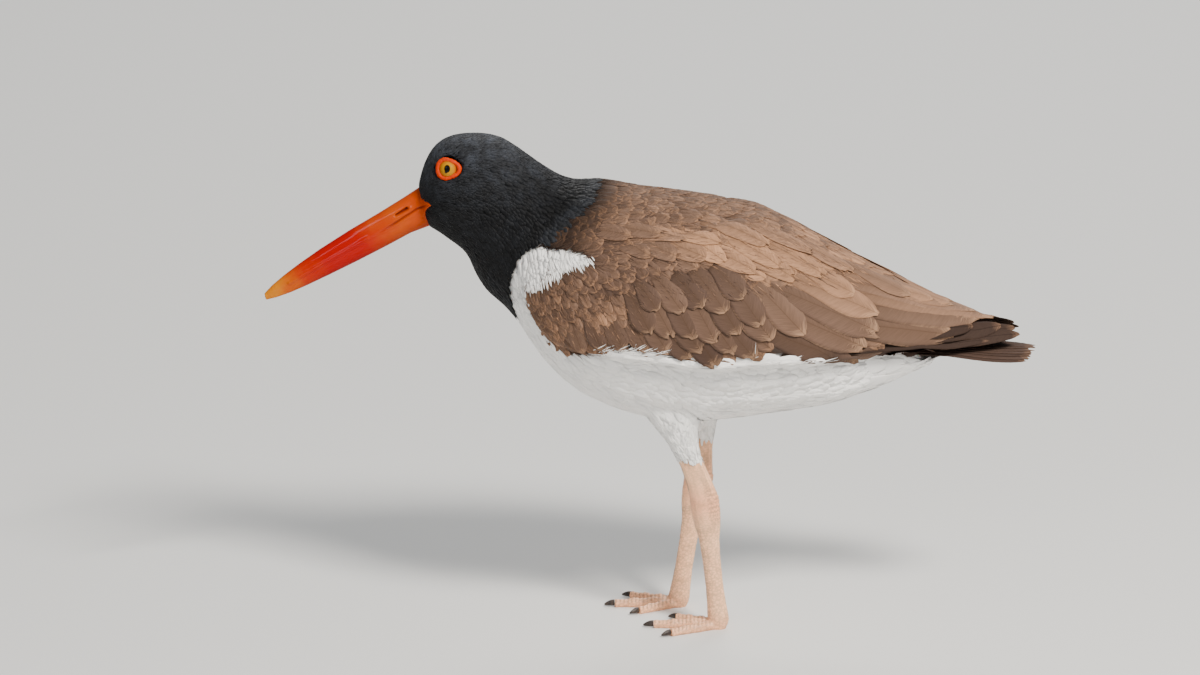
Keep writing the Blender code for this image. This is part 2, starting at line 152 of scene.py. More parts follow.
def mergedCopy(names, grown=0.0):
    # one bmesh of several solids, each vertex pushed out a little so that their gaps close
    made = bmesh.new()
    for name in names:
        made.from_mesh(nodes[name].data)
    bmesh.ops.remove_doubles(made, verts=made.verts, dist=0.02 * mm)
    made.normal_update()
    for vert in made.verts:
        vert.co += vert.normal * grown
    return made


def remeshed(name, made, voxel, smoothing):
    mesh = bpy.data.meshes.new(name)
    made.to_mesh(mesh)
    made.free()
    holder = bpy.data.objects.new(name, mesh)
    bpy.context.scene.collection.objects.link(holder)
    grid = holder.modifiers.new("grid", "REMESH")
    grid.mode = "VOXEL"
    grid.voxel_size = voxel
    soft = holder.modifiers.new("soft", "SMOOTH")
    soft.factor = 0.5
    soft.iterations = smoothing
    shaped = bpy.data.meshes.new_from_object(holder.evaluated_get(bpy.context.evaluated_depsgraph_get()))
    bpy.data.objects.remove(holder)
    return shaped


class Surface:
    # a mesh that feathers are settled on
    def __init__(self, mesh):
        self.mesh = mesh
        mesh.calc_loop_triangles()
        self.places, self.normals = meshArrays(mesh)
        corners = np.empty(len(mesh.loop_triangles) * 3, np.int32)
        mesh.loop_triangles.foreach_get("vertices", corners)
        self.faces = corners.reshape(-1, 3)
        self.tree = BVHTree.FromPolygons([Vector(p) for p in self.places], self.faces.tolist())

    def settle(self, points):
        found = [self.tree.find_nearest(p) for p in points.tolist()]
        spots = np.array([f[0] for f in found])
        corners = self.faces[[f[2] for f in found]]
        reach = 1 / (np.linalg.norm(self.places[corners] - spots[:, None], axis=2) + 0.2 * mm)
        return spots, unit((self.normals[corners] * reach[:, :, None]).sum(1))

    def draped(self, points, normals, away, above=6 * mm):
        # points beside a feather's middle line let down onto the surface, but never far off its plane
        fall = -0.32 * away
        starts = points + normals * above
        for k, (start, normal) in enumerate(zip(starts.tolist(), normals.tolist())):
            hit = self.tree.ray_cast(Vector(start), -Vector(normal), above * 2)
            if hit[3] is not None:
                fall[k] = min(max(above - hit[3], fall[k]), 1.0 * mm)
        return points + normals * fall[:, None]

    def underView(self, x, y):
        # the place on the left side that shows at a pixel of the side view, or just below it past an outline
        along = Vector((0, tiltCos, -tiltSin))
        for down in range(16):
            right = (x - sideView["zeroAcross"]) * sideView["scale"] * mm
            up = (sideView["floorDown"] - y - down) * sideView["scale"] * mm
            onPlane = Vector((right, up * tiltSin, up * tiltCos))
            hit = self.tree.ray_cast(onPlane - along * 0.5, along)[0]
            if hit is not None:
                return np.array(hit)
        return np.array(self.tree.find_nearest(onPlane - along * 0.02)[0])

    def thickness(self, places, normals):
        depth = np.full(len(places), 0.1)
        for k, (place, normal) in enumerate(zip(places.tolist(), normals.tolist())):
            inwards = -Vector(normal)
            hit = self.tree.ray_cast(Vector(place) + inwards * 0.4 * mm, inwards)
            if hit[3] is not None:
                depth[k] = hit[3] + 0.4 * mm
        return depth


class Drape:
    # laid feathers that finer ones are draped over
    def __init__(self, pieces):
        corners, places, done = [], [], 0
        for piece in pieces:
            piece.data.calc_loop_triangles()
            found = np.empty(len(piece.data.loop_triangles) * 3, np.int32)
            piece.data.loop_triangles.foreach_get("vertices", found)
            corners.append(found.reshape(-1, 3) + done)
            places.append(meshArrays(piece.data)[0])
            done += len(places[-1])
        self.tree = BVHTree.FromPolygons(np.concatenate(places).tolist(), np.concatenate(corners).tolist())

    def heights(self, points, normals, above=5 * mm):
        found = np.zeros(len(points))
        starts = points + normals * above
        for k, (start, normal) in enumerate(zip(starts.tolist(), normals.tolist())):
            hit = self.tree.ray_cast(Vector(start), -Vector(normal), above)
            if hit[3] is not None:
                found[k] = above - hit[3]
        return found


# Guide surfaces: the outline of the plumage, with and without the wing tips and the tail.
fleshNodes = ["head", "neck", "trunk", "wing_left", "wing_right", "thigh_left", "thigh_right"]
tipNodes = ["primaries_left", "primaries_right", "tail"]
limbNodes = [part + "_" + side for side in sides for part in ("shin", "shank", "toe_inner", "toe_middle", "toe_outer")]
guideLook = {"voxel": 1.6 * mm, "grown": 0.25 * mm, "smoothing": 10}
outline = Surface(remeshed("outline", mergedCopy(fleshNodes, guideLook["grown"]), guideLook["voxel"],
                           guideLook["smoothing"]))
wholeOutline = Surface(remeshed("whole", mergedCopy(fleshNodes + tipNodes, guideLook["grown"]),
                                guideLook["voxel"], 6))
hull = bmesh.new()
for side in sides:
    hull.from_mesh(nodes["primaries_" + side].data)
shell = bmesh.ops.convex_hull(hull, input=hull.verts)
bmesh.ops.delete(hull, geom=[v for v in hull.verts if not any(len(f.verts) for f in v.link_faces)], context="VERTS")
inner = [item for item in shell["geom_interior"] + shell["geom_unused"] if isinstance(item, bmesh.types.BMVert)]
bmesh.ops.delete(hull, geom=inner, context="VERTS")
hullMesh = bpy.data.meshes.new("hull")
hull.to_mesh(hullMesh)
hull.free()
tipBody = mergedCopy(fleshNodes, guideLook["grown"])
tipBody.from_mesh(hullMesh)
tipOutline = Surface(remeshed("tips", tipBody, 1.3 * mm, 8))
print("guides:", len(outline.places), len(wholeOutline.places), len(tipOutline.places))

# Borders of the markings on the side view, in its pixels.
blackBorder = [(350, 100), (597, 100), (597, 179), (594, 190), (588, 200), (580, 210), (571, 220), (561, 230),
               (547, 242), (539, 247), (530, 252), (520, 262), (513, 275), (510, 288), (511, 300), (516, 313),
               (519, 321), (480, 330), (350, 330)]
whiteBorder = [(539, 247), (552, 249), (567, 249), (580, 254), (588, 255), (586, 262), (574, 265), (560, 266),
               (547, 275), (539, 286), (533, 288), (525, 287), (526, 300), (530, 314), (540, 332), (551, 345),
               (562, 352), (588, 356), (610, 352), (645, 353), (660, 357), (690, 360), (717, 363), (745, 359),
               (765, 353), (790, 360), (838, 360), (862, 356), (900, 352), (944, 351), (975, 356), (1100, 356),
               (1100, 800), (350, 800), (350, 330), (480, 330), (519, 321), (516, 313), (511, 300), (510, 288),
               (513, 275), (520, 262), (530, 252)]


def inside(points, border):
    # whether each point lies inside a closed border
    across, down = points[:, 0], points[:, 1]
    held = np.zeros(len(points), bool)
    for (x1, y1), (x2, y2) in zip(border, border[1:] + border[:1]):
        crosses = (y1 > down) != (y2 > down)
        edge = x1 + (down - y1) * (x2 - x1) / ((y2 - y1) or 1e-9)
        held ^= crosses & (across < edge)
    return held


def marking(points):
    # 0 for sooty black, 1 for white, 2 for brown
    place = onView(points)
    found = np.full(len(points), 2)
    found[inside(place, whiteBorder)] = 1
    found[inside(place, blackBorder)] = 0
    return found


# How the feathers lie: place on the side view, angle up from level towards the tail, length and width of
# a feather and the room between two, in millimetres, and how worn and pale its edges are, with painted
# light mixed in: low values paint shade under the scapulars and on the lower coverts, high ones the lit back.
combs = {
    "black": [
        (423, 177, 66, 2.4, 0.95, 0.72, 0), (424, 192, 30, 2.2, 0.8, 0.7, 0), (431, 160, 64, 2.8, 1.0, 0.8, 0),
        (436, 183, 20, 2.2, 0.8, 0.7, 0), (445, 143, 38, 3.2, 1.15, 0.9, 0), (470, 134, 8, 3.6, 1.3, 1.0, 0),
        (505, 140, -15, 4.4, 1.5, 1.1, 0), (535, 158, -32, 5.2, 1.7, 1.25, 0), (565, 174, -22, 6.0, 2.0, 1.4, 0),
        (430, 208, -8, 2.2, 0.8, 0.7, 0), (440, 196, 6, 2.4, 0.85, 0.75, 0), (452, 190, -2, 2.6, 0.9, 0.8, 0),
        (470, 178, -5, 3.2, 1.1, 0.95, 0), (471, 160, 12, 3.2, 1.1, 0.95, 0), (449, 152, 36, 2.8, 1.0, 0.85, 0),
        (431, 222, -32, 2.6, 0.9, 0.75, 0), (445, 236, -48, 3.4, 1.15, 0.95, 0), (470, 205, -22, 3.8, 1.3, 1.05, 0),
        (490, 188, -20, 4.2, 1.4, 1.1, 0), (520, 190, -32, 5.0, 1.6, 1.2, 0), (465, 245, -50, 4.4, 1.4, 1.1, 0),
        (480, 262, -60, 5.2, 1.6, 1.2, 0), (493, 283, -66, 6.0, 1.8, 1.3, 0), (503, 303, -68, 6.4, 1.9, 1.35, 0),
        (500, 220, -42, 5.0, 1.6, 1.2, 0), (490, 240, -52, 5.2, 1.7, 1.2, 0), (520, 222, -46, 6.0, 1.8, 1.3, 0),
        (508, 255, -62, 6.4, 1.9, 1.35, 0), (535, 205, -42, 6.0, 1.8, 1.3, 0), (550, 215, -46, 7.0, 2.1, 1.45, 0),
        (575, 190, -24, 7.0, 2.3, 1.5, 0), (592, 182, -6, 8.0, 2.8, 1.7, 0), (555, 232, -44, 7.0, 2.2, 1.5, 0),
        (530, 245, -56, 6.4, 2.0, 1.4, 0)],
    "white": [
        (545, 256, -66, 6, 1.1, 1.1, 0), (580, 258, -70, 7, 0.9, 1.1, 0), (560, 262, -74, 7, 1.0, 1.1, 0),
        (518, 275, -80, 6, 1.2, 1.2, 0), (515, 300, -78, 7, 1.3, 1.3, 0), (522, 320, -64, 8, 1.5, 1.4, 0),
        (540, 345, -48, 9, 1.7, 1.5, 0), (565, 362, -34, 10, 1.8, 1.6, 0), (600, 372, -18, 11, 1.9, 1.7, 0),
        (640, 385, -22, 11, 2.0, 1.7, 0), (625, 356, 10, 9, 1.0, 1.2, 0), (660, 402, -40, 8, 1.6, 1.4, 0),
        (700, 385, -8, 12, 2.1, 1.8, 0), (760, 375, 2, 12, 2.2, 1.8, 0), (820, 372, 6, 13, 2.3, 1.9, 0),
        (870, 365, 10, 12, 2.2, 1.9, 0), (910, 358, 10, 11, 2.2, 1.8, 0), (945, 352, 5, 11, 2.2, 1.8, 0),
        (672, 425, -72, 6, 1.2, 1.1, 0), (690, 440, -80, 4.5, 1.0, 0.95, 0), (700, 452, -84, 3, 0.8, 0.8, 0),
        (716, 425, -70, 6, 1.3, 1.2, 0), (600, 395, -25, 11, 1.9, 1.7, 0), (725, 408, -12, 10, 2.0, 1.7, 0),
        (790, 400, 6, 13, 2.2, 1.9, 0)],
    "brown": [
        # the wear here is partly painted light: low values below the scapulars paint their shadow, high ones on the
        # upper back and scapulars add painted light to their pale edges
        (560, 235, 32, 9, 4.6, 3.2, .15), (575, 222, 28, 10, 5.0, 3.5, .2), (562, 245, 26, 8, 4.2, 3.0, .2),
        (578, 245, 14, 9, 4.6, 3.2, .25), (592, 250, 4, 9, 4.8, 3.3, .25), (598, 262, -14, 9, 4.8, 3.3, .2), (590, 205, 15, 9, 4.8, 3.4, .3),
        (603, 190, 6, 9, 5.0, 3.4, .35), (600, 235, 15, 12, 6.0, 4.2, .3), (640, 195, -5, 10, 5.4, 3.7, .35),
        (640, 215, 0, 11, 5.8, 4.0, .3), (640, 240, 0, 13, 7.0, 4.8, .5), (680, 225, -10, 13, 7.0, 4.8, .45),
        (700, 245, -12, 14, 7.6, 5.2, .8), (740, 250, -18, 15, 8.0, 5.6, .85), (780, 262, -14, 15, 8.0, 5.6, .8),
        (700, 200, -10, 11, 6.0, 4.1, .4), (750, 210, -18, 12, 6.8, 4.6, .55), (800, 235, -25, 14, 8.0, 5.4, .7),
        (840, 262, -24, 15, 8.4, 5.8, .75), (880, 290, -26, 16, 8.6, 6.0, .6), (930, 310, -24, 16, 8.0, 5.8, .6),
        (532, 300, -76, 6.4, 3.2, 2.3, .5), (545, 325, -66, 7.5, 3.8, 2.7, .5), (560, 285, -66, 7, 3.6, 2.6, .35),
        (590, 275, -56, 8, 4.6, 3.1, .25), (600, 310, -65, 9, 5.0, 3.5, .55), (600, 338, -64, 9.5, 5.2, 3.6, .4),
        (640, 275, -42, 9, 5.4, 3.7, .05), (640, 320, -58, 11, 6.2, 4.3, .35), (640, 340, -55, 11, 6.2, 4.3, .25),
        (680, 280, -38, 11, 6.6, 4.5, 0), (680, 320, -50, 13, 7.2, 5.0, .35), (720, 280, -32, 13, 7.4, 5.0, .1),
        (720, 330, -46, 15, 8.0, 5.6, .35), (760, 290, -33, 15, 8.6, 5.8, .35), (800, 310, -22, 16, 9.0, 6.2, .35),
        (850, 330, -12, 16, 9.0, 6.2, .35), (850, 352, -4, 16, 8.0, 6.0, .2)]}


def asComb(strokes):
    table = np.array(strokes, float)
    turn = np.radians(table[:, 2])
    return {"at": table[:, :2], "heading": np.stack([np.cos(turn), np.sin(turn)], 1), "size": table[:, 3:]}


combs = {name: asComb(strokes) for name, strokes in combs.items()}


def combed(points, normals, comb):
    # heading along the surface, and length, width, room and wear, from the nearest strokes
    gaps = ((onView(points)[:, None] - comb["at"][None]) ** 2).sum(2) + 16
    weights = gaps ** -2.2
    weights /= weights.sum(1, keepdims=True)
    heading, size = weights @ comb["heading"], weights @ comb["size"]
    side = np.where(points[:, 1] > 0, -1.0, 1.0)
    along = np.stack([heading[:, 0], side * tiltSin * heading[:, 1], tiltCos * heading[:, 1]], 1)
    along -= normals * (along * normals).sum(1, keepdims=True)
    return unit(along), size


# Colours of the plumage, by zone; the painted light and shade laid over them goes by place on the side view.
plumage = {
    # of these, the black's second colour is a painted sheen and the white's second a painted shade at the feathers'
    # roots; neither is used below
    "black": "#0f1012", "blackPaintedSheen": "#2c2f36", "white": "#f4f2ef", "whiteRootShaded": "#cfc9c0",
    "brownDark": "#4a3931", "brownMiddle": "#745a4a", "brownPale": "#b98a68", "flight": "#392c26",
    "flightTip": "#55423a"}
plumage = {name: linear(shade) for name, shade in plumage.items()}
plumage["byBlack"] = 0.24


def mixed(one, two, share):
    return one + (two - one) * np.asarray(share)[..., None]


def brownOf(wearAndLight):
    dark = mixed(plumage["brownDark"], plumage["brownMiddle"], np.clip(wearAndLight * 2, 0, 1))
    return mixed(dark, plumage["brownPale"], np.clip(wearAndLight * 2 - 1, 0, 1))


def paintOf(kinds, wearAndLight):
    shades = np.empty((len(kinds), 3))
    shades[kinds == 0] = plumage["black"]
    shades[kinds == 1] = plumage["white"]
    shades[kinds == 2] = brownOf(wearAndLight[kinds == 2])
    return shades


def awayFromBlack(points):
    # how far, in pixels of the side view, a place lies behind the edge of the black
    place = onView(points)
    edge = np.array(blackBorder[2:9], float)
    best = np.full(len(place), 1e9)
    for start, end in zip(edge, edge[1:]):
        best = np.minimum(best, fromSegment(place, start, end))
    return best


def mantleShade(points):
    return plumage["byBlack"] + (1 - plumage["byBlack"]) * smoothStep(-4, 50, awayFromBlack(points))


def paintedCrownLightThroatShade(points):
    # painted light: a paler sheen on the crown and nape, easing off towards the mantle; painted shade: the deepest
    # black down the throat; and a fade towards the mantle
    across, down = onView(points).T
    paintedSheen = np.interp(down, [140, 165, 200, 230], [4.2, 2.8, 1.0, 0.7]) * (1 - 0.6 * smoothStep(515, 570, across))
    return np.maximum(paintedSheen, 2.0 * smoothStep(16, 2, awayFromBlack(points)))


# The skin: under the feathers it follows their outline at the coat's depth, and the bare legs join it.
skinLook = {"bodyDepth": 2.0, "headDepth": 1.0, "faceDepth": 0.5, "thighDepth": 0.7, "bodyVoxel": 2.2 * mm,
            "bodySmoothing": 6, "limbVoxel": 0.42 * mm, "limbSmoothing": 5, "scale": 1.8, "scaleDepth": 0.15}


def coatDepth(points):
    place = onView(points)
    across, down = place[:, 0], place[:, 1]
    depth = skinLook["headDepth"] + (skinLook["bodyDepth"] - skinLook["headDepth"]) * smoothStep(500, 580, across)
    depth = np.where(across < 500, skinLook["faceDepth"] + (skinLook["headDepth"] - skinLook["faceDepth"])
                     * smoothStep(420, 470, across), depth)
    low = smoothStep(400, 445, down) * (across > 600)
    return (depth + (skinLook["thighDepth"] - depth) * low) * mm


def limbRelief(places, normals):
    # plates all over, long grooves down the shin, creases across the heel and the tops of the toes
    plates = np.empty(len(places))
    for k, place in enumerate(places.tolist()):
        cell = Vector((place[0], place[1], place[2] * 1.35)) / (skinLook["scale"] * mm)
        near = noise.voronoi(cell)[0]
        plates[k] = min(near[1] - near[0], 0.3) / 0.3 - 0.75
    height = places[:, 2] / mm
    round_ = np.arctan2(normals[:, 1], normals[:, 0])
    onShin = smoothStep(66, 74, height)
    onHeel = smoothStep(50, 56, height) * smoothStep(74, 68, height)
    onToe = smoothStep(9, 6, height)
    grooves = np.sin(round_ * 4 + height * 0.05) * 0.5 + np.sin(round_ * 7 - height * 0.09) * 0.35
    creases = -np.abs(np.sin(height * math.pi / 2.1 + np.sin(round_ * 2))) ** 0.5 * smoothStep(-0.2, 0.5, normals[:, 0])
    across = -np.abs(np.sin(places[:, 0] / mm * math.pi / 1.9)) ** 6 * smoothStep(0.2, 0.7, normals[:, 2])
    return (skinLook["scaleDepth"] * plates * (1 - 0.5 * onShin) + 0.16 * grooves * onShin
            + 0.16 * (creases + 0.5) * onHeel + 0.2 * across * onToe)


def makeSkin():
    body = remeshed("body", mergedCopy(fleshNodes, guideLook["grown"]), skinLook["bodyVoxel"],
                    skinLook["bodySmoothing"])
    places, normals = meshArrays(body)
    depth = np.minimum(coatDepth(places), outline.thickness(places, normals) * 0.3)
    movedTo(body, places - normals * depth[:, None])
    limbs = remeshed("limbs", mergedCopy(limbNodes, 0.2 * mm), skinLook["limbVoxel"], skinLook["limbSmoothing"])
    places, normals = meshArrays(limbs)
    movedTo(limbs, places + normals * (limbRelief(places, normals) * mm)[:, None])
    holders = []
    for mesh in (body, limbs):
        holders.append(bpy.data.objects.new("skinPart", mesh))
        bpy.context.scene.collection.objects.link(holders[-1])
    join = holders[0].modifiers.new("legs", "BOOLEAN")
    join.operation, join.solver, join.object = "UNION", "EXACT", holders[1]
    whole = bpy.data.meshes.new_from_object(holders[0].evaluated_get(bpy.context.evaluated_depsgraph_get()))
    for holder in holders:
        bpy.data.objects.remove(holder)
    return whole


def colourAttribute(mesh, name, shades):
    layer = mesh.attributes.new(name, "FLOAT_COLOR", "POINT")
    flat = np.ones((len(shades), 4), np.float32)
    flat[:, :3] = shades
    layer.data.foreach_set("color", flat.ravel())


def numberAttribute(mesh, name, values):
    layer = mesh.attributes.new(name, "FLOAT", "POINT")
    layer.data.foreach_set("value", values.astype(np.float32))


legColours = {"flesh": "#fac398", "joint": "#ec9f78", "blush": "#e8821e"}


def skinMaterial():
    # scaled bare skin of a wader's legs: fine horny plates with a waxy, slightly translucent surface
    made, tree, shader = newMaterial("scaled leg skin", Roughness=0.48)
    paint = addNode(tree, "Attribute", attribute_name="paint")
    place = addNode(tree, "TexCoord")
    blotch = addNode(tree, "TexNoise", {"Vector": place.outputs["Object"], "Scale": 160.0, "Detail": 4.0})
    tint = addNode(tree, "MapRange", {"Value": blotch.outputs["Fac"], "From Min": 0.3, "From Max": 0.7,
                                      "To Min": 0.86, "To Max": 1.08})
    shaded = addNode(tree, "VectorMath", {0: paint.outputs["Color"], "Scale": tint.outputs["Result"]},
                     operation="SCALE")
    tree.links.new(shaded.outputs["Vector"], shader.inputs["Base Color"])
    plates = addNode(tree, "TexVoronoi", {"Vector": place.outputs["Object"], "Scale": 1500.0},
                     feature="DISTANCE_TO_EDGE")
    grain = addNode(tree, "Bump", {"Height": plates.outputs["Distance"], "Strength": 0.35, "Distance": 0.0001})
    tree.links.new(grain.outputs["Normal"], shader.inputs["Normal"])
    shader.inputs["Subsurface Weight"].default_value = 0.12
    shader.inputs["Subsurface Radius"].default_value = (0.004, 0.0016, 0.0009)
    shader.inputs["Subsurface Scale"].default_value = 0.5
    return made


skinMesh = makeSkin()
places, normals = meshArrays(skinMesh)
kinds = marking(places)
wearAndLight = combed(places, normals, combs["brown"])[1][:, 3]
# the skin under the plumage takes its colour, darkened as painted shade for the gaps between feathers (x0.75, whites
# x0.97)
shades = paintOf(kinds, wearAndLight) * np.where(kinds == 1, 0.97, 0.75)[:, None]
shades[kinds == 2] *= mantleShade(places[kinds == 2])[:, None]
bare = places[:, 2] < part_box("thigh_left")[0].z + 1.5 * mm
height = places[:, 2] / mm
legShade = mixed(linear(legColours["flesh"]), linear(legColours["joint"]),
                 np.clip(1 - np.abs(height - 64) / 12, 0, 1) * 0.6 + np.clip(1 - height / 9, 0, 1) * 0.35)
# painted shade: the bare legs are darkened in the grooves between plates and in the creases, by the relief's depth
pits = limbRelief(places[bare], normals[bare])
shades[bare] = legShade[bare] * (1 + 2.6 * np.clip(pits, -0.2, 0.03))[:, None]
blush = np.array([noise.noise(Vector(place) / (3.2 * mm)) for place in places[bare].tolist()])
spots = smoothStep(0.28, 0.5, blush) * smoothStep(88, 96, height[bare])
shades[bare] = mixed(shades[bare], linear(legColours["blush"]), spots * 0.7)
colourAttribute(skinMesh, "paint", shades)
skin = newPiece("skin", skinMesh, skinMaterial(), "leg", *fleshNodes, *limbNodes)
skinMesh.calc_loop_triangles()
print("skin:", len(skinMesh.loop_triangles), "triangles")


# Feather shapes: each is a closed thin vane, x across from -1 to 1, y along from 0 to 1, z through it.
def vaneShape(across, along, rootWidth, widest, point, roundness):
    # rows crowd towards the tip, where the outline turns most
    made = bmesh.new()
    bmesh.ops.create_grid(made, x_segments=across, y_segments=along, size=1)
    for vert in made.verts:
        t = 1 - (0.5 - vert.co.y * 0.5) ** point
        grow = rootWidth + (1 - rootWidth) * smoothStep(0, widest, t)
        past = max(0.0, (t - widest) / (1 - widest)) * 0.985
        vert.co = (vert.co.x * grow * (1 - past ** roundness) ** (1 / roundness), t, 0)
    bmesh.ops.solidify(made, geom=made.faces[:], thickness=1.0)
    bmesh.ops.recalc_face_normals(made, faces=made.faces)
    return made


def tuftShape(rings):
    # a flattened spindle with a blunt root and a fine tip
    made = bmesh.new()
    bmesh.ops.create_cone(made, cap_ends=True, cap_tris=False, segments=4, radius1=0.45, radius2=0.07, depth=1.0)
    bmesh.ops.translate(made, vec=(0, 0, 0.5), verts=made.verts)
    for level in rings:
        bmesh.ops.bisect_plane(made, geom=made.verts[:] + made.edges[:] + made.faces[:], dist=1e-5,
                               plane_co=(0, 0, level), plane_no=(0, 0, 1))
    for vert in made.verts:
        x, y, t = vert.co
        fat = 1.0 if t in (0.0, 1.0) else 1 / max(0.45 - 0.38 * t, 0.05) * min(1, 0.62 + t, (1.06 - t) * 2.2)
        vert.co = (x * fat, t, y * fat)
    bmesh.ops.recalc_face_normals(made, faces=made.faces)
    return made


def asTemplate(made):
    made.verts.ensure_lookup_table()
    mesh = bpy.data.meshes.new("template")
    bmesh.ops.triangulate(made, faces=[f for f in made.faces if len(f.verts) > 4])
    made.to_mesh(mesh)
    made.free()
    count = len(mesh.vertices)
    places = np.empty(count * 3, np.float32)
    mesh.vertices.foreach_get("co", places)
    corners = np.empty(len(mesh.loops), np.int32)
    mesh.loops.foreach_get("vertex_index", corners)
    starts = np.empty(len(mesh.polygons), np.int32)
    mesh.polygons.foreach_get("loop_start", starts)
    sizes = np.empty(len(mesh.polygons), np.int32)
    mesh.polygons.foreach_get("loop_total", sizes)
    bpy.data.meshes.remove(mesh)
    places = places.reshape(-1, 3).astype(float)
    through = places[:, 2] - places[:, 2].mean()
    places[:, 2] = through / (np.abs(through).max() or 1)
    triangles = int((sizes - 2).sum())
    return {"x": places[:, 0], "t": places[:, 1], "z": places[:, 2], "corners": corners, "starts": starts,
            "sizes": sizes, "triangles": triangles}


shapes = {
    "tuft": asTemplate(tuftShape((0.3, 0.68))),
    "down": asTemplate(vaneShape(2, 4, 0.5, 0.45, 1.4, 2.0)),
    "vane": asTemplate(vaneShape(4, 7, 0.4, 0.45, 1.6, 2.2)),
    "blade": asTemplate(vaneShape(8, 14, 0.35, 0.4, 1.7, 2.4)),
    "broad": asTemplate(vaneShape(8, 14, 0.5, 0.68, 1.7, 1.8))}
print("shapes:", {name: shape["triangles"] for name, shape in shapes.items()})


# An unwrap of the body's own shape: how far along its middle line a place is, and its angle round it.
middleLine = np.array([(-140, 200), (-95, 214), (-66, 186), (-30, 168), (40, 156), (110, 147), (190, 138)]) * mm


def unwrapped(points):
    flat = points[:, [0, 2]]
    best = np.full(len(points), 1e9)
    station, angle = np.zeros(len(points)), np.zeros(len(points))
    done = 0.0
    for start, end in zip(middleLine, middleLine[1:]):
        step = end - start
        reach = np.linalg.norm(step)
        t = np.clip(((flat - start) @ step) / reach ** 2, 0, 1)
        off = flat - (start + t[:, None] * step)
        away = np.linalg.norm(off, axis=1)
        nearer = away < best
        across = off @ np.array([-step[1], step[0]]) / reach
        best[nearer] = away[nearer]
        station[nearer] = (done + t * reach)[nearer]
        angle[nearer] = np.arctan2(points[:, 1], across)[nearer]
        done += reach
    return np.stack([station / done, angle / (2 * math.pi) + 0.5], 1)


def spines(surface, roots, lengths, comb, steps, turn=None, stiff=0.6):
    # each feather's middle line, stepped along the surface the way the coat is combed
    place, stops, heading = roots, [], None
    for _ in range(steps + 1):
        spot, normal = surface.settle(place)
        wanted = combed(spot, normal, comb)[0]
        if turn is not None:
            side = np.cross(normal, wanted)
            wanted = unit(wanted * np.cos(turn)[:, None] + side * np.sin(turn)[:, None])
        if heading is not None:
            wanted = heading * stiff + wanted * (1 - stiff)
            wanted = unit(wanted - normal * (wanted * normal).sum(1, keepdims=True))
        heading = wanted
        stops.append((spot, normal, heading))
        place = spot + heading * (lengths / steps)[:, None]
    return [np.stack(part) for part in zip(*stops)]


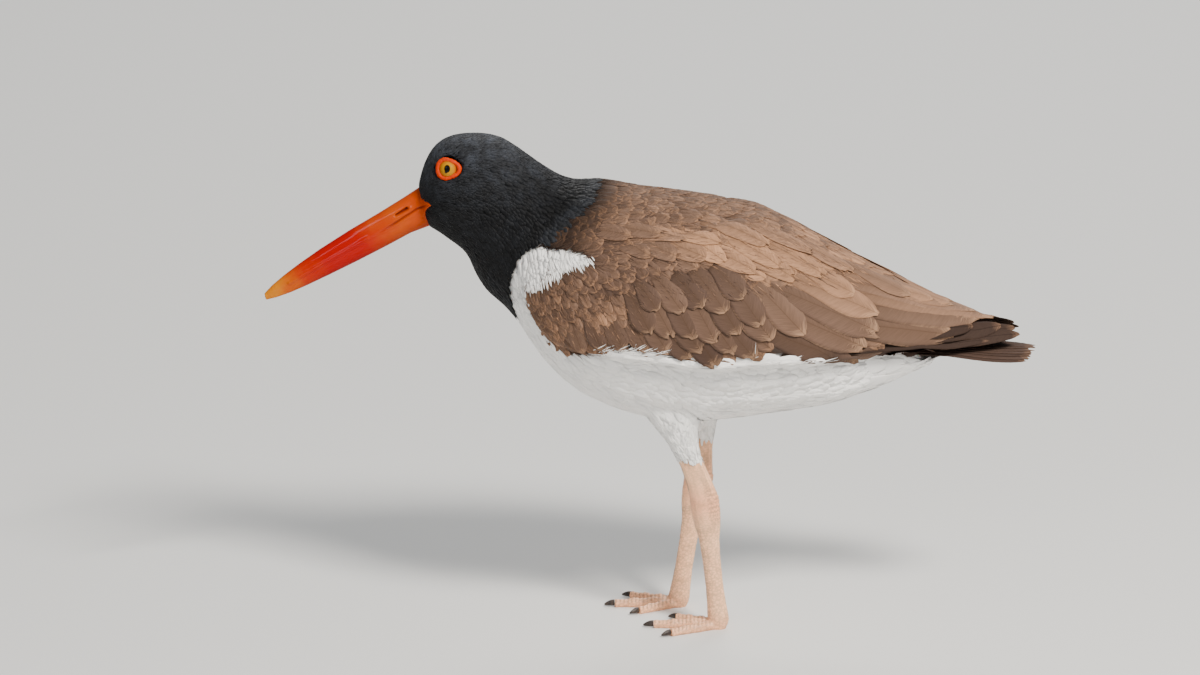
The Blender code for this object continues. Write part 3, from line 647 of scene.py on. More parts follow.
def layFeathers(name, shape, spine, lengths, widths, shades, look, material, slot, rng, stoodFor=()):
    # builds the feathers' meshes from one shape and their middle lines
    steps = len(spine[0]) - 1
    count = len(lengths)
    t, s, z = shape["t"], shape["x"], shape["z"]
    at = np.minimum(t * steps, steps - 1e-6)
    low = at.astype(int)
    share = (at - low)[:, None, None]
    spot, normal, heading = [part[low] * (1 - share) + part[low + 1] * share for part in spine]
    normal, heading = unit(normal), unit(heading)
    across = np.cross(normal, heading)
    side = np.where(spine[0][0][:, 1] > 0, -1.0, 1.0)
    half = widths / 2
    frayed = rng.normal(0, 1, (count, 9))
    column = np.clip(((s + 1) * 4).astype(int), 0, 8)
    fray = look.get("fray", 0.0) * smoothStep(0.7, 1.0, t)[:, None] * frayed[:, column].T
    bend = look.get("bend", 0.0) * rng.normal(0, 1, count)[None] * (t ** 2)[:, None]
    lateral = (s[:, None] + bend) * half[None]
    points = spot + across * lateral[:, :, None] + heading * (fray * lengths[None])[:, :, None]
    if look.get("snug"):
        away = np.abs(lateral) + np.zeros_like(points[:, :, 0])
        points = look["snug"].draped(points.reshape(-1, 3), normal.reshape(-1, 3), away.ravel()).reshape(points.shape)
    lift = look.get("lift", 0.1) * mm * (1 + look.get("liftJitter", 0.3) * rng.normal(0, 1, count))[None]
    high = -look["sink"] * mm * ((1 - t)[:, None] ** look.get("sinkPower", 1.3)) + lift * (t[:, None] ** 1.5)
    if "base" in look:
        high = high + look["base"][None] * mm
    if look.get("drape"):
        rise = look["drape"].heights(spine[0].reshape(-1, 3), spine[1].reshape(-1, 3)).reshape(spine[0].shape[:2])
        high = high + rise[low] * (1 - share[:, :, 0]) + rise[low + 1] * share[:, :, 0]
    high = high + look.get("arch", 0.06) * (1 - np.minimum(s ** 2, 1))[:, None] * widths[None]
    roll = look.get("roll", 0.0) * side + look.get("rollJitter", 0.03) * rng.normal(0, 1, count)
    high = high + (-s[:, None] * roll[None]) * half[None]
    edge = 1 - look.get("edgeThin", 0.75) * np.maximum(np.abs(s) ** 2, smoothStep(0.7, 1.0, t))
    high = high + (z * edge)[:, None] * look["thick"] * mm / 2
    if "droop" in look:
        high = high - look["droop"] * mm * smoothStep(0.55, 1.0, t)[:, None]
    points = points + normal * high[:, :, None]
    order = np.argsort(spine[0][0][:, 0], kind="stable")
    perPiece = look.get("perPiece", 190000) // shape["triangles"]
    chunks = [order[k:k + perPiece] for k in range(0, count, perPiece)]
    made = []
    rootPaintedShade, tipBrightening = look.get("rootPaintedShade", 0.8), look.get("tipPaintedLight", 1.0)
    tone = np.exp(look.get("tone", 0.08) * rng.normal(0, 1, count))
    chance = rng.random(count)
    uvRoot = unwrapped(spine[0][0])
    for number, chunk in enumerate(chunks):
        chunkPoints = points[:, chunk].transpose(1, 0, 2).reshape(-1, 3)
        size = len(t)
        offsets = (np.arange(len(chunk)) * size)[:, None]
        corners = (shape["corners"][None] + offsets).ravel()
        mesh = bpy.data.meshes.new(name)
        mesh.vertices.add(len(chunkPoints))
        mesh.vertices.foreach_set("co", chunkPoints.astype(np.float32).ravel())
        mesh.loops.add(len(corners))
        mesh.loops.foreach_set("vertex_index", corners.astype(np.int32))
        starts = (shape["starts"][None] + (np.arange(len(chunk)) * len(shape["corners"]))[:, None]).ravel()
        mesh.polygons.add(len(starts))
        mesh.polygons.foreach_set("loop_start", starts.astype(np.int32))
        mesh.update(calc_edges=True)
        # painted shade and light: each feather darker at its root, where those above overlap it, and lighter towards
        # its tip
        along = rootPaintedShade + (tipBrightening - rootPaintedShade) * smoothStep(0.0, 0.8, t)
        colour = shades[chunk][:, None] * (tone[chunk][:, None, None] * along[None, :, None])
        colourAttribute(mesh, "paint", np.clip(colour, 0, 1).reshape(-1, 3))
        shadeBy = look.get("shadeBy") or (lambda places: np.ones(len(places)))
        numberAttribute(mesh, "shade", shadeBy(chunkPoints))
        numberAttribute(mesh, "barb", ((t[None] * lengths[chunk][:, None] + np.abs(s)[None] * 0.9
                                        * half[chunk][:, None]) / mm).ravel())
        numberAttribute(mesh, "chance", np.repeat(chance[chunk], size))
        vane = mesh.uv_layers.new(name="vane")
        flatUv = np.stack([s[shape["corners"]] * 0.5 + 0.5, t[shape["corners"]]], 1)
        vane.data.foreach_set("uv", np.tile(flatUv, (len(chunk), 1)).astype(np.float32).ravel())
        bakeUv = mesh.uv_layers.new(name="OFBake")
        if look.get("atlas"):
            rows = math.ceil(math.sqrt(len(chunk)))
            cell = 0.98 / rows
            spots = np.stack([np.arange(len(chunk)) % rows, np.arange(len(chunk)) // rows], 1) * cell + 0.01
            above = (z[shape["corners"]] > 0)[:, None]
            half2 = np.where(above, flatUv * [0.47, 0.94], flatUv * [0.47, 0.94] + [0.5, 0])
            patch = half2 * cell + 0.01 * cell
        else:
            spots = uvRoot[chunk]
            spots = 0.01 + (spots - spots.min(0)) / np.maximum(np.ptp(spots, axis=0), 1e-6) * 0.97
            patch = (flatUv - [0.5, 0.0]) * 0.003
        bakeUv.data.foreach_set("uv", (spots[:, None] + patch[None]).astype(np.float32).ravel())
        mesh.uv_layers.active = vane
        label = name if len(chunks) == 1 else f"{name}_{number + 1}"
        made.append(newPiece(label, mesh, material, slot, *(stoodFor if number == 0 else ())))
        print(label + ":", len(chunk), "feathers,", len(chunk) * shape["triangles"], "triangles")
    return made


def scatter(surface, comb, kind, rng, keep=None, reach=0.55, rootOff=(), tipOff=(), oversample=5.0):
    # roots over the parts of the surface that carry one marking, as far apart as the comb says
    corners = surface.places[surface.faces]
    middles = corners.mean(1)
    normals = unit(np.cross(corners[:, 1] - corners[:, 0], corners[:, 2] - corners[:, 0]))
    heading, size = combed(middles, normals, comb)
    ahead = middles + heading * (size[:, 0] * 0.55 * mm)[:, None]
    near = np.abs(marking(middles) - kind) + np.abs(marking(ahead) - kind) < 3
    wanted = (marking(ahead) == kind) | (marking(middles) == kind)
    area = np.linalg.norm(np.cross(corners[:, 1] - corners[:, 0], corners[:, 2] - corners[:, 0]), axis=1) / 2
    density = oversample * area * wanted * near / (0.866 * (size[:, 2] * mm) ** 2)
    number = int(density.sum())
    picked = rng.choice(len(area), number, p=density / density.sum())
    one, two = rng.random(number), rng.random(number)
    flip = one + two > 1
    one[flip], two[flip] = 1 - one[flip], 1 - two[flip]
    tri = corners[picked]
    points = tri[:, 0] + (tri[:, 1] - tri[:, 0]) * one[:, None] + (tri[:, 2] - tri[:, 0]) * two[:, None]
    heading, size = combed(points, normals[picked], comb)
    ahead = points + heading * (size[:, 0] * reach * mm)[:, None]
    held = marking(ahead) == kind
    held &= ~np.isin(marking(points), rootOff)
    held &= ~np.isin(marking(points + heading * (size[:, 0] * mm)[:, None]), tipOff)
    if keep is not None:
        held &= keep(points, ahead)
    points, size = points[held], size[held]
    tree = KDTree(len(points))
    for k, point in enumerate(points.tolist()):
        tree.insert(point, k)
    tree.balance()
    taken = np.zeros(len(points), bool)
    kept = []
    rooms = size[:, 2] * mm
    for k, point in enumerate(points.tolist()):
        if taken[k]:
            continue
        kept.append(k)
        for _, other, _ in tree.find_range(point, rooms[k]):
            taken[other] = True
    return points[kept], size[kept]


def mixColour(tree, share, colour, other):
    mix = tree.nodes.new("ShaderNodeMix")
    mix.data_type = "RGBA"
    tree.links.new(share, mix.inputs[0])
    tree.links.new(colour, mix.inputs[6])
    if isinstance(other, bpy.types.NodeSocket):
        tree.links.new(other, mix.inputs[7])
    else:
        mix.inputs[7].default_value = (*other, 1)
    return mix.outputs[2]


def span(tree, value, low, high, first, last):
    return addNode(tree, "MapRange", {"Value": value, "From Min": low, "From Max": high, "To Min": first,
                                      "To Max": last}).outputs[0]


# Feather materials: keratin barbs side by side make a satin vane, with a rachis down its middle.
def featherMaterial(name, look):
    made, tree, shader = newMaterial(name, Roughness=look["roughness"], Sheen_Weight=look["sheen"],
                                     Sheen_Roughness=0.5, Specular_IOR_Level=look.get("specular", 0.35))
    paint = addNode(tree, "Attribute", attribute_name="paint")
    barb = addNode(tree, "Attribute", attribute_name="barb")
    chance = addNode(tree, "Attribute", attribute_name="chance")
    place = addNode(tree, "TexCoord")
    vane = addNode(tree, "UVMap", uv_map="vane")
    parts = addNode(tree, "SeparateXYZ", {0: vane.outputs["UV"]})
    centred = addNode(tree, "Math", {0: parts.outputs["X"], 1: 0.5}, operation="SUBTRACT")
    off = addNode(tree, "Math", {0: centred.outputs[0]}, operation="ABSOLUTE")
    colour = paint.outputs["Color"]
    # painted sheen: a noise cloud mixes a paler bluish grey into the black
    if "paintedSheen" in look:
        cloud = addNode(tree, "TexNoise", {"Vector": place.outputs["Object"], "Scale": look["paintedSheenScale"],
                                           "Detail": 4.0, "Roughness": 0.6})
        share = span(tree, cloud.outputs["Fac"], 0.44, 0.66, 0.0, look["paintedSheenShare"])
        colour = mixColour(tree, share, colour, linear(look["paintedSheen"]))
    # streaks run along the barbs, out from the rachis towards the tip
    reach = addNode(tree, "Math", {0: barb.outputs["Fac"], 1: look.get("barbs", 1.1)}, operation="MULTIPLY")
    own = addNode(tree, "Math", {0: chance.outputs["Fac"], 1: 57.0}, operation="MULTIPLY")
    sideways = addNode(tree, "Math", {0: centred.outputs[0], 1: 3.0}, operation="MULTIPLY")
    along = addNode(tree, "CombineXYZ", {0: reach.outputs[0], 1: sideways.outputs[0], 2: own.outputs[0]})
    streaks = addNode(tree, "TexNoise", {"Vector": along.outputs[0], "Scale": 1.0, "Detail": 3.0, "Roughness": 0.65})
    tint = span(tree, streaks.outputs["Fac"], 0.3, 0.7, 1 - look["streak"], 1 + look["streak"])
    colour = addNode(tree, "VectorMath", {0: colour, "Scale": tint}, operation="SCALE").outputs["Vector"]
    if "core" in look:
        heart = span(tree, off.outputs[0], 0.0, 0.34, look["core"]["share"], 0.0)
        colour = mixColour(tree, heart, colour, linear(look["core"]["colour"]))
    if "fringe" in look:
        ragged, start = look["fringe"].get("ragged", 0.16), look["fringe"].get("start", 0.84)
        rough = span(tree, streaks.outputs["Fac"], 0.3, 0.7, -ragged, ragged)
        beside = addNode(tree, "Math", {0: off.outputs[0], 1: 2.0, 2: rough}, operation="MULTIPLY_ADD")
        ahead = addNode(tree, "Math", {0: parts.outputs["Y"], 1: rough}, operation="ADD")
        edge = span(tree, beside.outputs[0], start, 1.02, 0.0, look["fringe"]["edge"])
        tip = span(tree, ahead.outputs[0], start, 1.02, 0.0, look["fringe"]["tip"])
        both = addNode(tree, "Math", {0: tip, 1: edge}, operation="MAXIMUM")
        colour = mixColour(tree, both.outputs[0], colour, linear(look["fringe"]["colour"]))
    if "rachis" in look:
        line = span(tree, off.outputs[0], look["rachis"]["half"], look["rachis"]["half"] * 2.2,
                    look["rachis"]["share"], 0.0)
        colour = mixColour(tree, line, colour, linear(look["rachis"]["colour"]))
    # the shade attribute multiplies in the painted light on the crown, the painted shade down the throat, and the
    # mantle's darkening next to the black
    shade = addNode(tree, "Attribute", attribute_name="shade")
    colour = addNode(tree, "VectorMath", {0: colour, "Scale": shade.outputs["Fac"]}, operation="SCALE").outputs["Vector"]
    tree.links.new(colour, shader.inputs["Base Color"])
    if "relief" in look:
        relief = addNode(tree, "Bump", {"Height": streaks.outputs["Fac"], "Strength": 0.7,
                                        "Distance": look["relief"] * mm})
        tree.links.new(relief.outputs["Normal"], shader.inputs["Normal"])
    return made


featherLooks = {
    # the black's second colour, mixed in by a noise cloud, is a painted sheen
    "black": {"roughness": 0.6, "sheen": 0.02, "streak": 0.3, "relief": 0.12, "barbs": 2.4, "paintedSheen": "#272a30", "paintedSheenScale": 170.0,
              "paintedSheenShare": 0.35, "specular": 0.13},
    "white": {"roughness": 0.9, "sheen": 0.1, "streak": 0.03, "barbs": 1.6},
    "brown": {"roughness": 0.75, "sheen": 0.03, "streak": 0.24, "relief": 0.2, "specular": 0.12,
              "core": {"share": 0.3, "colour": "#46321f"},
              "fringe": {"tip": 0.32, "edge": 0.17, "colour": "#b98a66"},
              "rachis": {"half": 0.012, "share": 0.4, "colour": "#453022"}},
    "large": {"roughness": 0.72, "sheen": 0.03, "streak": 0.16, "relief": 0.1, "specular": 0.13, "barbs": 1.7,
              "core": {"share": 0.3, "colour": "#46321f"},
              "fringe": {"tip": 0.45, "edge": 0.28, "colour": "#c39a78", "ragged": 0.08, "start": 0.89},
              "rachis": {"half": 0.008, "share": 0.4, "colour": "#453022"}},
    "flight": {"roughness": 0.72, "sheen": 0.0, "streak": 0.12, "relief": 0.1, "specular": 0.08, "barbs": 1.7,
               "fringe": {"tip": 0.6, "edge": 0.25, "colour": "#8a6a54", "ragged": 0.03, "start": 0.93},
               "rachis": {"half": 0.012, "share": 0.6, "colour": "#1a110c"}}}
blackVanes = featherMaterial("sooty down-soft vanes", featherLooks["black"])
whiteVanes = featherMaterial("white down-soft vanes", featherLooks["white"])
brownVanes = featherMaterial("brown satin vanes", featherLooks["brown"])
largeVanes = featherMaterial("brown smooth vanes", featherLooks["large"])
flightVanes = featherMaterial("blackish flight vanes", featherLooks["flight"])

# Eyes: where they sit, looking a little up and forwards.
eyeLook = {"at": (-97.5, 10.6, 229.9), "radius": 5.8, "up": math.radians(10), "forward": math.radians(7),
           "ringLength": 5.35, "ringHeight": 4.4, "ringOut": 3.9, "ringThick": 1.1, "socket": 4.75}


def eyeFrame(side):
    sign = sides[side]
    look = Vector((-math.sin(eyeLook["forward"]), sign * math.cos(eyeLook["forward"]) * math.cos(eyeLook["up"]),
                   math.sin(eyeLook["up"])))
    x, y, z = eyeLook["at"]
    rear = (Vector((1, 0, 0)) - look * look.x).normalized()
    turn = Matrix((rear, look.cross(rear) * -sign, look)).transposed().to_4x4()
    return Matrix.Translation(Vector((x, sign * y, z)) * mm) @ turn


def ringReach(angle):
    # half width of the bare ring's middle line at an angle: a rounded triangle with its point to the rear
    oval = 1 / np.sqrt((np.cos(angle) / eyeLook["ringLength"]) ** 2 + (np.sin(angle) / eyeLook["ringHeight"]) ** 2)
    return oval * (1 + 0.075 * np.cos(3 * angle))


def inEyeFrame(points, side):
    back = np.array(eyeFrame(side).inverted())
    return (points @ back[:3, :3].T + back[:3, 3]) / mm


def clearOfFace(points, ahead):
    # feathers start outside the bare ring, and behind the seam of the bill
    clear = np.ones(len(points), bool)
    for side, sign in sides.items():
        own = points[:, 1] * sign > 0
        for some in (points, ahead):
            local = inEyeFrame(some, side)
            far = np.hypot(local[:, 0], local[:, 1])
            clear &= ~(own & (far < ringReach(np.arctan2(local[:, 1], local[:, 0])) + 1.1))
    place = onView(points)
    gape = np.interp(place[:, 1], [185, 199.5, 202, 206.7, 210.5, 217, 221, 226, 240],
                     [419.2, 420, 427, 431.5, 426, 425.5, 427, 430, 430])
    return clear & (place[:, 0] > gape)


def growCoat(name, kindName, kind, shape, look, material, slot, seed, keep=None):
    # look["scale"] multiplies the comb's length, width and room
    rng = np.random.default_rng(seed)
    comb = dict(combs[kindName])
    comb["size"] = comb["size"] * [*look.get("scale", (1, 1, 1)), 1]
    roots, size = scatter(outline, comb, kind, rng, keep, look.get("reach", 0.55), look.get("rootOff", ()),
                          look.get("tipOff", ()))
    lengths = size[:, 0] * mm * np.exp(0.12 * rng.normal(0, 1, len(roots)))
    widths = size[:, 1] * mm * np.exp(0.10 * rng.normal(0, 1, len(roots)))
    turn = look.get("stray", 0.12) * rng.normal(0, 1, len(roots))
    spine = spines(outline, roots, lengths, comb, look.get("steps", 3), turn)
    kinds = np.full(len(roots), kind)
    shades = paintOf(kinds, np.clip(size[:, 3] + look.get("wearJitter", 0) * rng.normal(0, 1, len(roots)), 0, 1))
    sink = coatDepth(roots) / mm * look.get("sinkShare", 0.7)
    if "spurSink" in look:
        place = onView(roots)
        sink = np.where((place[:, 0] < 612) & (place[:, 1] < 296), look["spurSink"], sink)
    look = dict(look, shadeBy=(paintedCrownLightThroatShade, None, mantleShade)[kind], sink=sink[None])
    return layFeathers(name, shapes[shape], spine, lengths, widths, shades, look, material, slot, rng)


blackLook = {"scale": (1.0, 1.35, 0.98), "thick": 0.08, "lift": 0.03, "arch": 0.06, "stray": 0.12, "rootPaintedShade": 0.8,
             "tipPaintedLight": 1.1, "tone": 0.2, "sinkShare": 0.3, "reach": 0.5, "tipOff": (1,), "steps": 3}
blackWisps = {"scale": (0.9, 0.6, 1.4), "thick": 0.10, "lift": 0.08, "arch": 0.08, "stray": 0.18, "rootPaintedShade": 0.8,
              "tipPaintedLight": 1.3, "tone": 0.35, "sinkShare": 0.25, "reach": 0.5, "tipOff": (1,)}
growCoat("head_and_neck_feathers", "black", 0, "down", blackLook, blackVanes, "black_plumage", 11, clearOfFace)
growCoat("head_and_neck_wisps", "black", 0, "tuft", blackWisps, blackVanes, "black_plumage", 12, clearOfFace)

whiteLook = {"scale": (1.0, 2.7, 1.45), "thick": 0.06, "lift": 0.02, "arch": 0.02, "stray": 0.08, "rootPaintedShade": 0.98,
             "tone": 0.01, "sinkShare": 0.1, "rootOff": (0, 2), "steps": 4, "spurSink": 0.9}
wingEdge = [(760, 790, 838, 862, 900), (356, 361, 362, 358, 353)]
whiteWisps = {"scale": (0.9, 0.42, 1.7), "thick": 0.10, "lift": 0.10, "arch": 0.03, "stray": 0.16, "rootPaintedShade": 0.98,
              "tone": 0.01, "sinkShare": 0.1, "rootOff": (0, 2), "spurSink": 0.6}


def beforeTail(points, ahead):
    # short of the tail, and under the folded wing's lower edge
    across, down = onView(ahead).T
    return (across < 897) & ~((across > 765) & (down < np.interp(across, wingEdge[0], wingEdge[1])))


growCoat("white_feathers", "white", 1, "down", whiteLook, whiteVanes, "white_plumage", 13, beforeTail)
growCoat("white_wisps", "white", 1, "tuft", whiteWisps, whiteVanes, "white_plumage", 14, beforeTail)


def aheadOfTips(points, ahead):
    # the wing tips and the tail carry large feathers alone
    across, down = onView(ahead).T
    return (across < np.where(down > 300, 890, 925)) & ~((across > 770) & (down > 340))


brownLook = {"scale": (1.2, 1.4, 0.84), "thick": 0.06, "lift": 0.07, "arch": 0.012, "stray": 0.12, "roll": 0.01,
             "rollJitter": 0.015, "tone": 0.08, "rootPaintedShade": 0.86, "wearJitter": 0.12, "steps": 5, "snug": outline,
             "fray": 0.03, "reach": 0.9, "rootOff": (0, 1), "sinkShare": 0.3}
brownCoat = growCoat("mantle_and_coverts", "brown", 2, "vane", brownLook, brownVanes, "brown_plumage", 15,
                     aheadOfTips)


# Large feathers, named by where their root and tip show on the side view, with their width and layer.
def rowOf(strokes):
    return np.array(strokes, float)


largeRows = {
    "scapulars": rowOf([
        # root x, root y, tip x, tip y, width, layer, wear (also painted shade: lower where shade falls on the wing)
        (752, 236, 822, 276, 13, 1.1, .85), (735, 246, 792, 279, 12, 0.9, .75), (720, 232, 775, 268, 12, 1.2, .8),
        (695, 243, 752, 271, 12, 0.8, .8), (672, 232, 724, 261, 12, 1.0, .9), (655, 240, 705, 259, 12, 0.8, .7),
        (650, 226, 718, 244, 11, 1.1, .95), (628, 238, 677, 259, 11, 0.7, .5), (618, 225, 686, 240, 10, 0.9, .7),
        (605, 236, 650, 256, 10, 0.6, .35), (600, 224, 662, 236, 9, 0.9, .5), (585, 228, 631, 237, 9, 0.8, .35),
        (700, 222, 765, 246, 11, 1.3, .75), (745, 224, 810, 254, 11, 1.4, .7), (790, 238, 850, 272, 12, 1.3, .7)]),
    "greater_coverts": rowOf([
        (735, 323, 860, 358, 17, 0.9, .1), (742, 296, 864, 347, 17, 1.1, .25), (762, 284, 877, 332, 17, 1.3, .4),
        (785, 276, 874, 314, 15, 1.5, .6), (800, 268, 851, 296, 13, 1.6, .8),
        (706, 300, 750, 358, 15, 0.8, .15), (694, 298, 733, 352, 14, 0.9, .25), (676, 306, 717, 365, 15, 0.7, .05),
        (662, 300, 700, 350, 14, 0.8, .2), (650, 305, 690, 358, 14, 0.6, .05), (636, 303, 668, 352, 13, 0.7, .2),
        (622, 306, 648, 352, 12, 0.6, .22), (604, 306, 624, 350, 11.5, 0.6, .32), (586, 308, 602, 350, 11, 0.5, .25),
        (568, 312, 583, 352, 10, 0.5, .35), (724, 284, 768, 340, 16, 1.0, .2), (745, 276, 800, 335, 16, 1.1, .3)]),
    "median_coverts": rowOf([
        (627, 290, 650, 332, 13, 1.3, .25), (645, 288, 671, 336, 14, 1.2, .38), (664, 286, 692, 337, 14, 1.3, .18),
        (683, 284, 714, 341, 15, 1.2, .3), (703, 280, 737, 334, 15, 1.4, .1), (722, 274, 757, 325, 15, 1.5, .25),
        (636, 281, 657, 310, 11, 1.5, .12), (655, 277, 681, 313, 12.5, 1.6, .25), (673, 274, 701, 307, 14, 1.5, .1),
        (692, 270, 724, 311, 14.5, 1.7, .28), (711, 266, 742, 298, 13.5, 1.8, .12)]),
    "tertials": rowOf([
        (806, 318, 951, 336, 17, 0.9, .35), (812, 300, 977, 319, 17, 1.2, .45), (820, 288, 993, 316, 14, 1.5, .6),
        (826, 278, 972, 309, 14, 1.7, .65), (834, 268, 951, 307, 13, 1.8, .6), (838, 262, 907, 297, 13, 1.9, .7),
        (870, 285, 930, 300, 11, 2.0, .7), (893, 281, 948, 305, 13, 2.1, .75)])}
primaryRow = rowOf([
    (846, 351, 990, 339, 6, -0.6, 0), (900, 344, 1018.5, 334, 8, -0.3, 0), (900, 340, 1014, 328, 8, 0.1, 0),
    (890, 338, 1000, 328, 10, 0.6, 0), (885, 335, 970, 327, 9, 1.2, 0)])
largeLook = {"sink": 1.2, "thick": 0.18, "lift": 0.2, "arch": 0.014, "roll": 0.03, "rollJitter": 0.015, "tone": 0.07,
             "rootPaintedShade": 0.78, "fray": 0.022, "bend": 0.07, "atlas": True}
layerHeight = 0.65


def layLarge(name, table, look, material, slot, seed, surface, shade=None, stoodFor=()):
    rng = np.random.default_rng(seed)
    steps = 9
    lines = []
    for rootX, rootY, tipX, tipY, *_ in table:
        root, tip = surface.underView(rootX, rootY), surface.underView(tipX, tipY)
        lines.append(root + (tip - root) * np.linspace(0, 1, steps + 1)[:, None])
    left = np.array(lines)
    both = np.concatenate([left, left * [1, -1, 1]])
    spot, normal = surface.settle(both.reshape(-1, 3))
    spot, normal = spot.reshape(both.shape), normal.reshape(both.shape)
    heading = unit(np.gradient(spot, axis=1))
    if "facing" in look:
        facing = np.array(look["facing"]) * np.where(spot[:, :, 1:2] > 0, [1, -1, 1], [1, 1, 1])
        normal = unit(facing - heading * (facing * heading).sum(2, keepdims=True))
    spine = [part.transpose(1, 0, 2) for part in (spot, normal, heading)]
    lengths = np.linalg.norm(np.diff(spot, axis=1), axis=2).sum(1)
    widths, base, wearAndLight = (np.tile(table[:, k], 2) for k in (4, 5, 6))
    wearAndLight = np.clip(wearAndLight + 0.05 * rng.normal(0, 1, len(wearAndLight)), 0, 1)
    shades = brownOf(wearAndLight) if shade is None else np.tile(shade, (len(wearAndLight), 1))
    look = {**largeLook, "snug": surface, "base": base * layerHeight, **look}
    return layFeathers(name, shapes[look.get("shape", "blade")], spine, lengths, widths * mm, shades, look, material,
                       slot, rng, stoodFor)


primaryLook = {"arch": 0.07, "lift": 0.1, "shape": "broad", "facing": (0.0, -0.8, 0.6), "snug": None, "fray": 0.004,
               "sink": np.tile([1.4, 4.0, 5.5, 7.0, 7.5], 2)[None], "sinkPower": 1.7}
layLarge("primary_feathers", primaryRow, primaryLook, flightVanes, "dark_brown_plumage", 30, tipOutline,
         plumage["flight"], ("primaries_left", "primaries_right"))
for number, (name, table) in enumerate(largeRows.items()):
    shape, made = ("blade", brownVanes) if name == "scapulars" else ("broad", largeVanes)
    worn = {"shape": shape, "fray": 0.009 if name == "tertials" else 0.022}
    brownCoat += layLarge(name, table, worn, made, "brown_plumage", 20 + number, tipOutline)

# Loose wisps over all the brown, and white strands that lie over its edges.
overBrown = Drape(brownCoat)
brownWisps = {"scale": (0.75, 0.09, 0.43), "thick": 0.05, "lift": 0.08, "arch": 0.03, "stray": 0.14, "rootPaintedShade": 1.0,
              "tone": 0.12, "tipPaintedLight": 1.12, "wearJitter": 0.2, "sinkShare": 0.12, "drape": overBrown}


def amongSmall(points, ahead):
    # the mantle, scapulars and small coverts look wispy, and the large smooth feathers don't
    across, down = onView(points).T
    return (across < 850) & ~((across > 690) & (down > 292 - (across - 690) * 0.1)) & ~((across > 636) & (down > 293))


growCoat("covert_wisps", "brown", 2, "tuft", brownWisps, brownVanes, "brown_plumage", 16, amongSmall)
strandRows = [
    # from x, from y, to x, to y, strands, angle, length, width
    (526, 284, 541, 284, 14, -76, 5.5, 0.8), (541, 282, 550, 274, 12, -72, 6.5, 0.8),
    (549, 275, 562, 266, 16, -70, 6.5, 0.75), (561, 266, 578, 262, 20, -66, 6.0, 0.7), (549, 261, 573, 257, 30, -70, 6.5, 0.85),
    (577, 262, 592, 258, 18, -58, 5.5, 0.6), (584, 355, 650, 356, 70, 22, 8.5, 0.5),
    (592, 353, 636, 353, 30, 30, 7.0, 0.42), (753, 355, 753.2, 355, 1, 107, 9.5, 0.26)]


def layStrands():
    rng = np.random.default_rng(17)
    roots, turns, lengths, widths = [], [], [], []
    for x1, y1, x2, y2, number, angle, length, width in strandRows:
        for share in (np.arange(number) + rng.uniform(0, 1, number)) / number:
            roots.append(outline.underView(x1 + (x2 - x1) * share, y1 + (y2 - y1) * share + rng.normal(0, 1.2)))
            turns.append(math.radians(angle) + 0.14 * rng.normal())
            lengths.append(length * (0.78 if y1 < 290 else 1) * math.exp(0.25 * rng.normal()) * mm)
            widths.append(width * math.exp(0.2 * rng.normal()) * mm)
    roots = np.array(roots)
    roots = np.concatenate([roots, roots * [1, -1, 1]])
    turns, lengths, widths = (np.tile(part, 2) for part in (turns, lengths, widths))
    side = np.where(roots[:, 1] > 0, -1.0, 1.0)
    aim = np.stack([np.cos(turns), side * tiltSin * np.sin(turns), tiltCos * np.sin(turns)], 1)
    place, stops = roots, []
    for _ in range(4):
        spot, normal = outline.settle(place)
        heading = unit(aim - normal * (aim * normal).sum(1, keepdims=True))
        stops.append((spot, normal, heading))
        place = spot + heading * (lengths / 3)[:, None]
    spine = [np.stack(part) for part in zip(*stops)]
    look = {"thick": 0.14, "lift": 0.25, "sink": 0.1, "arch": 0.03, "tone": 0.01, "rootPaintedShade": 1.0,
            "drape": overBrown}
    layFeathers("white_edge_strands", shapes["tuft"], spine, lengths, widths,
                np.tile(plumage["white"], (len(roots), 1)), look, whiteVanes, "white_plumage", rng)


layStrands()


# The tail: twelve feathers in a closed fan, the middle pair on top.
tailLook = {"count": 12, "rootX": 116.0, "tipX": 187.3, "spread": 14.0, "rootShare": 0.6, "width": 12.5,
            "rounding": 0.02, "arch": 4.5, "widest": 20.5, "top": 2.8, "layer": 0.26, "thick": 0.4}


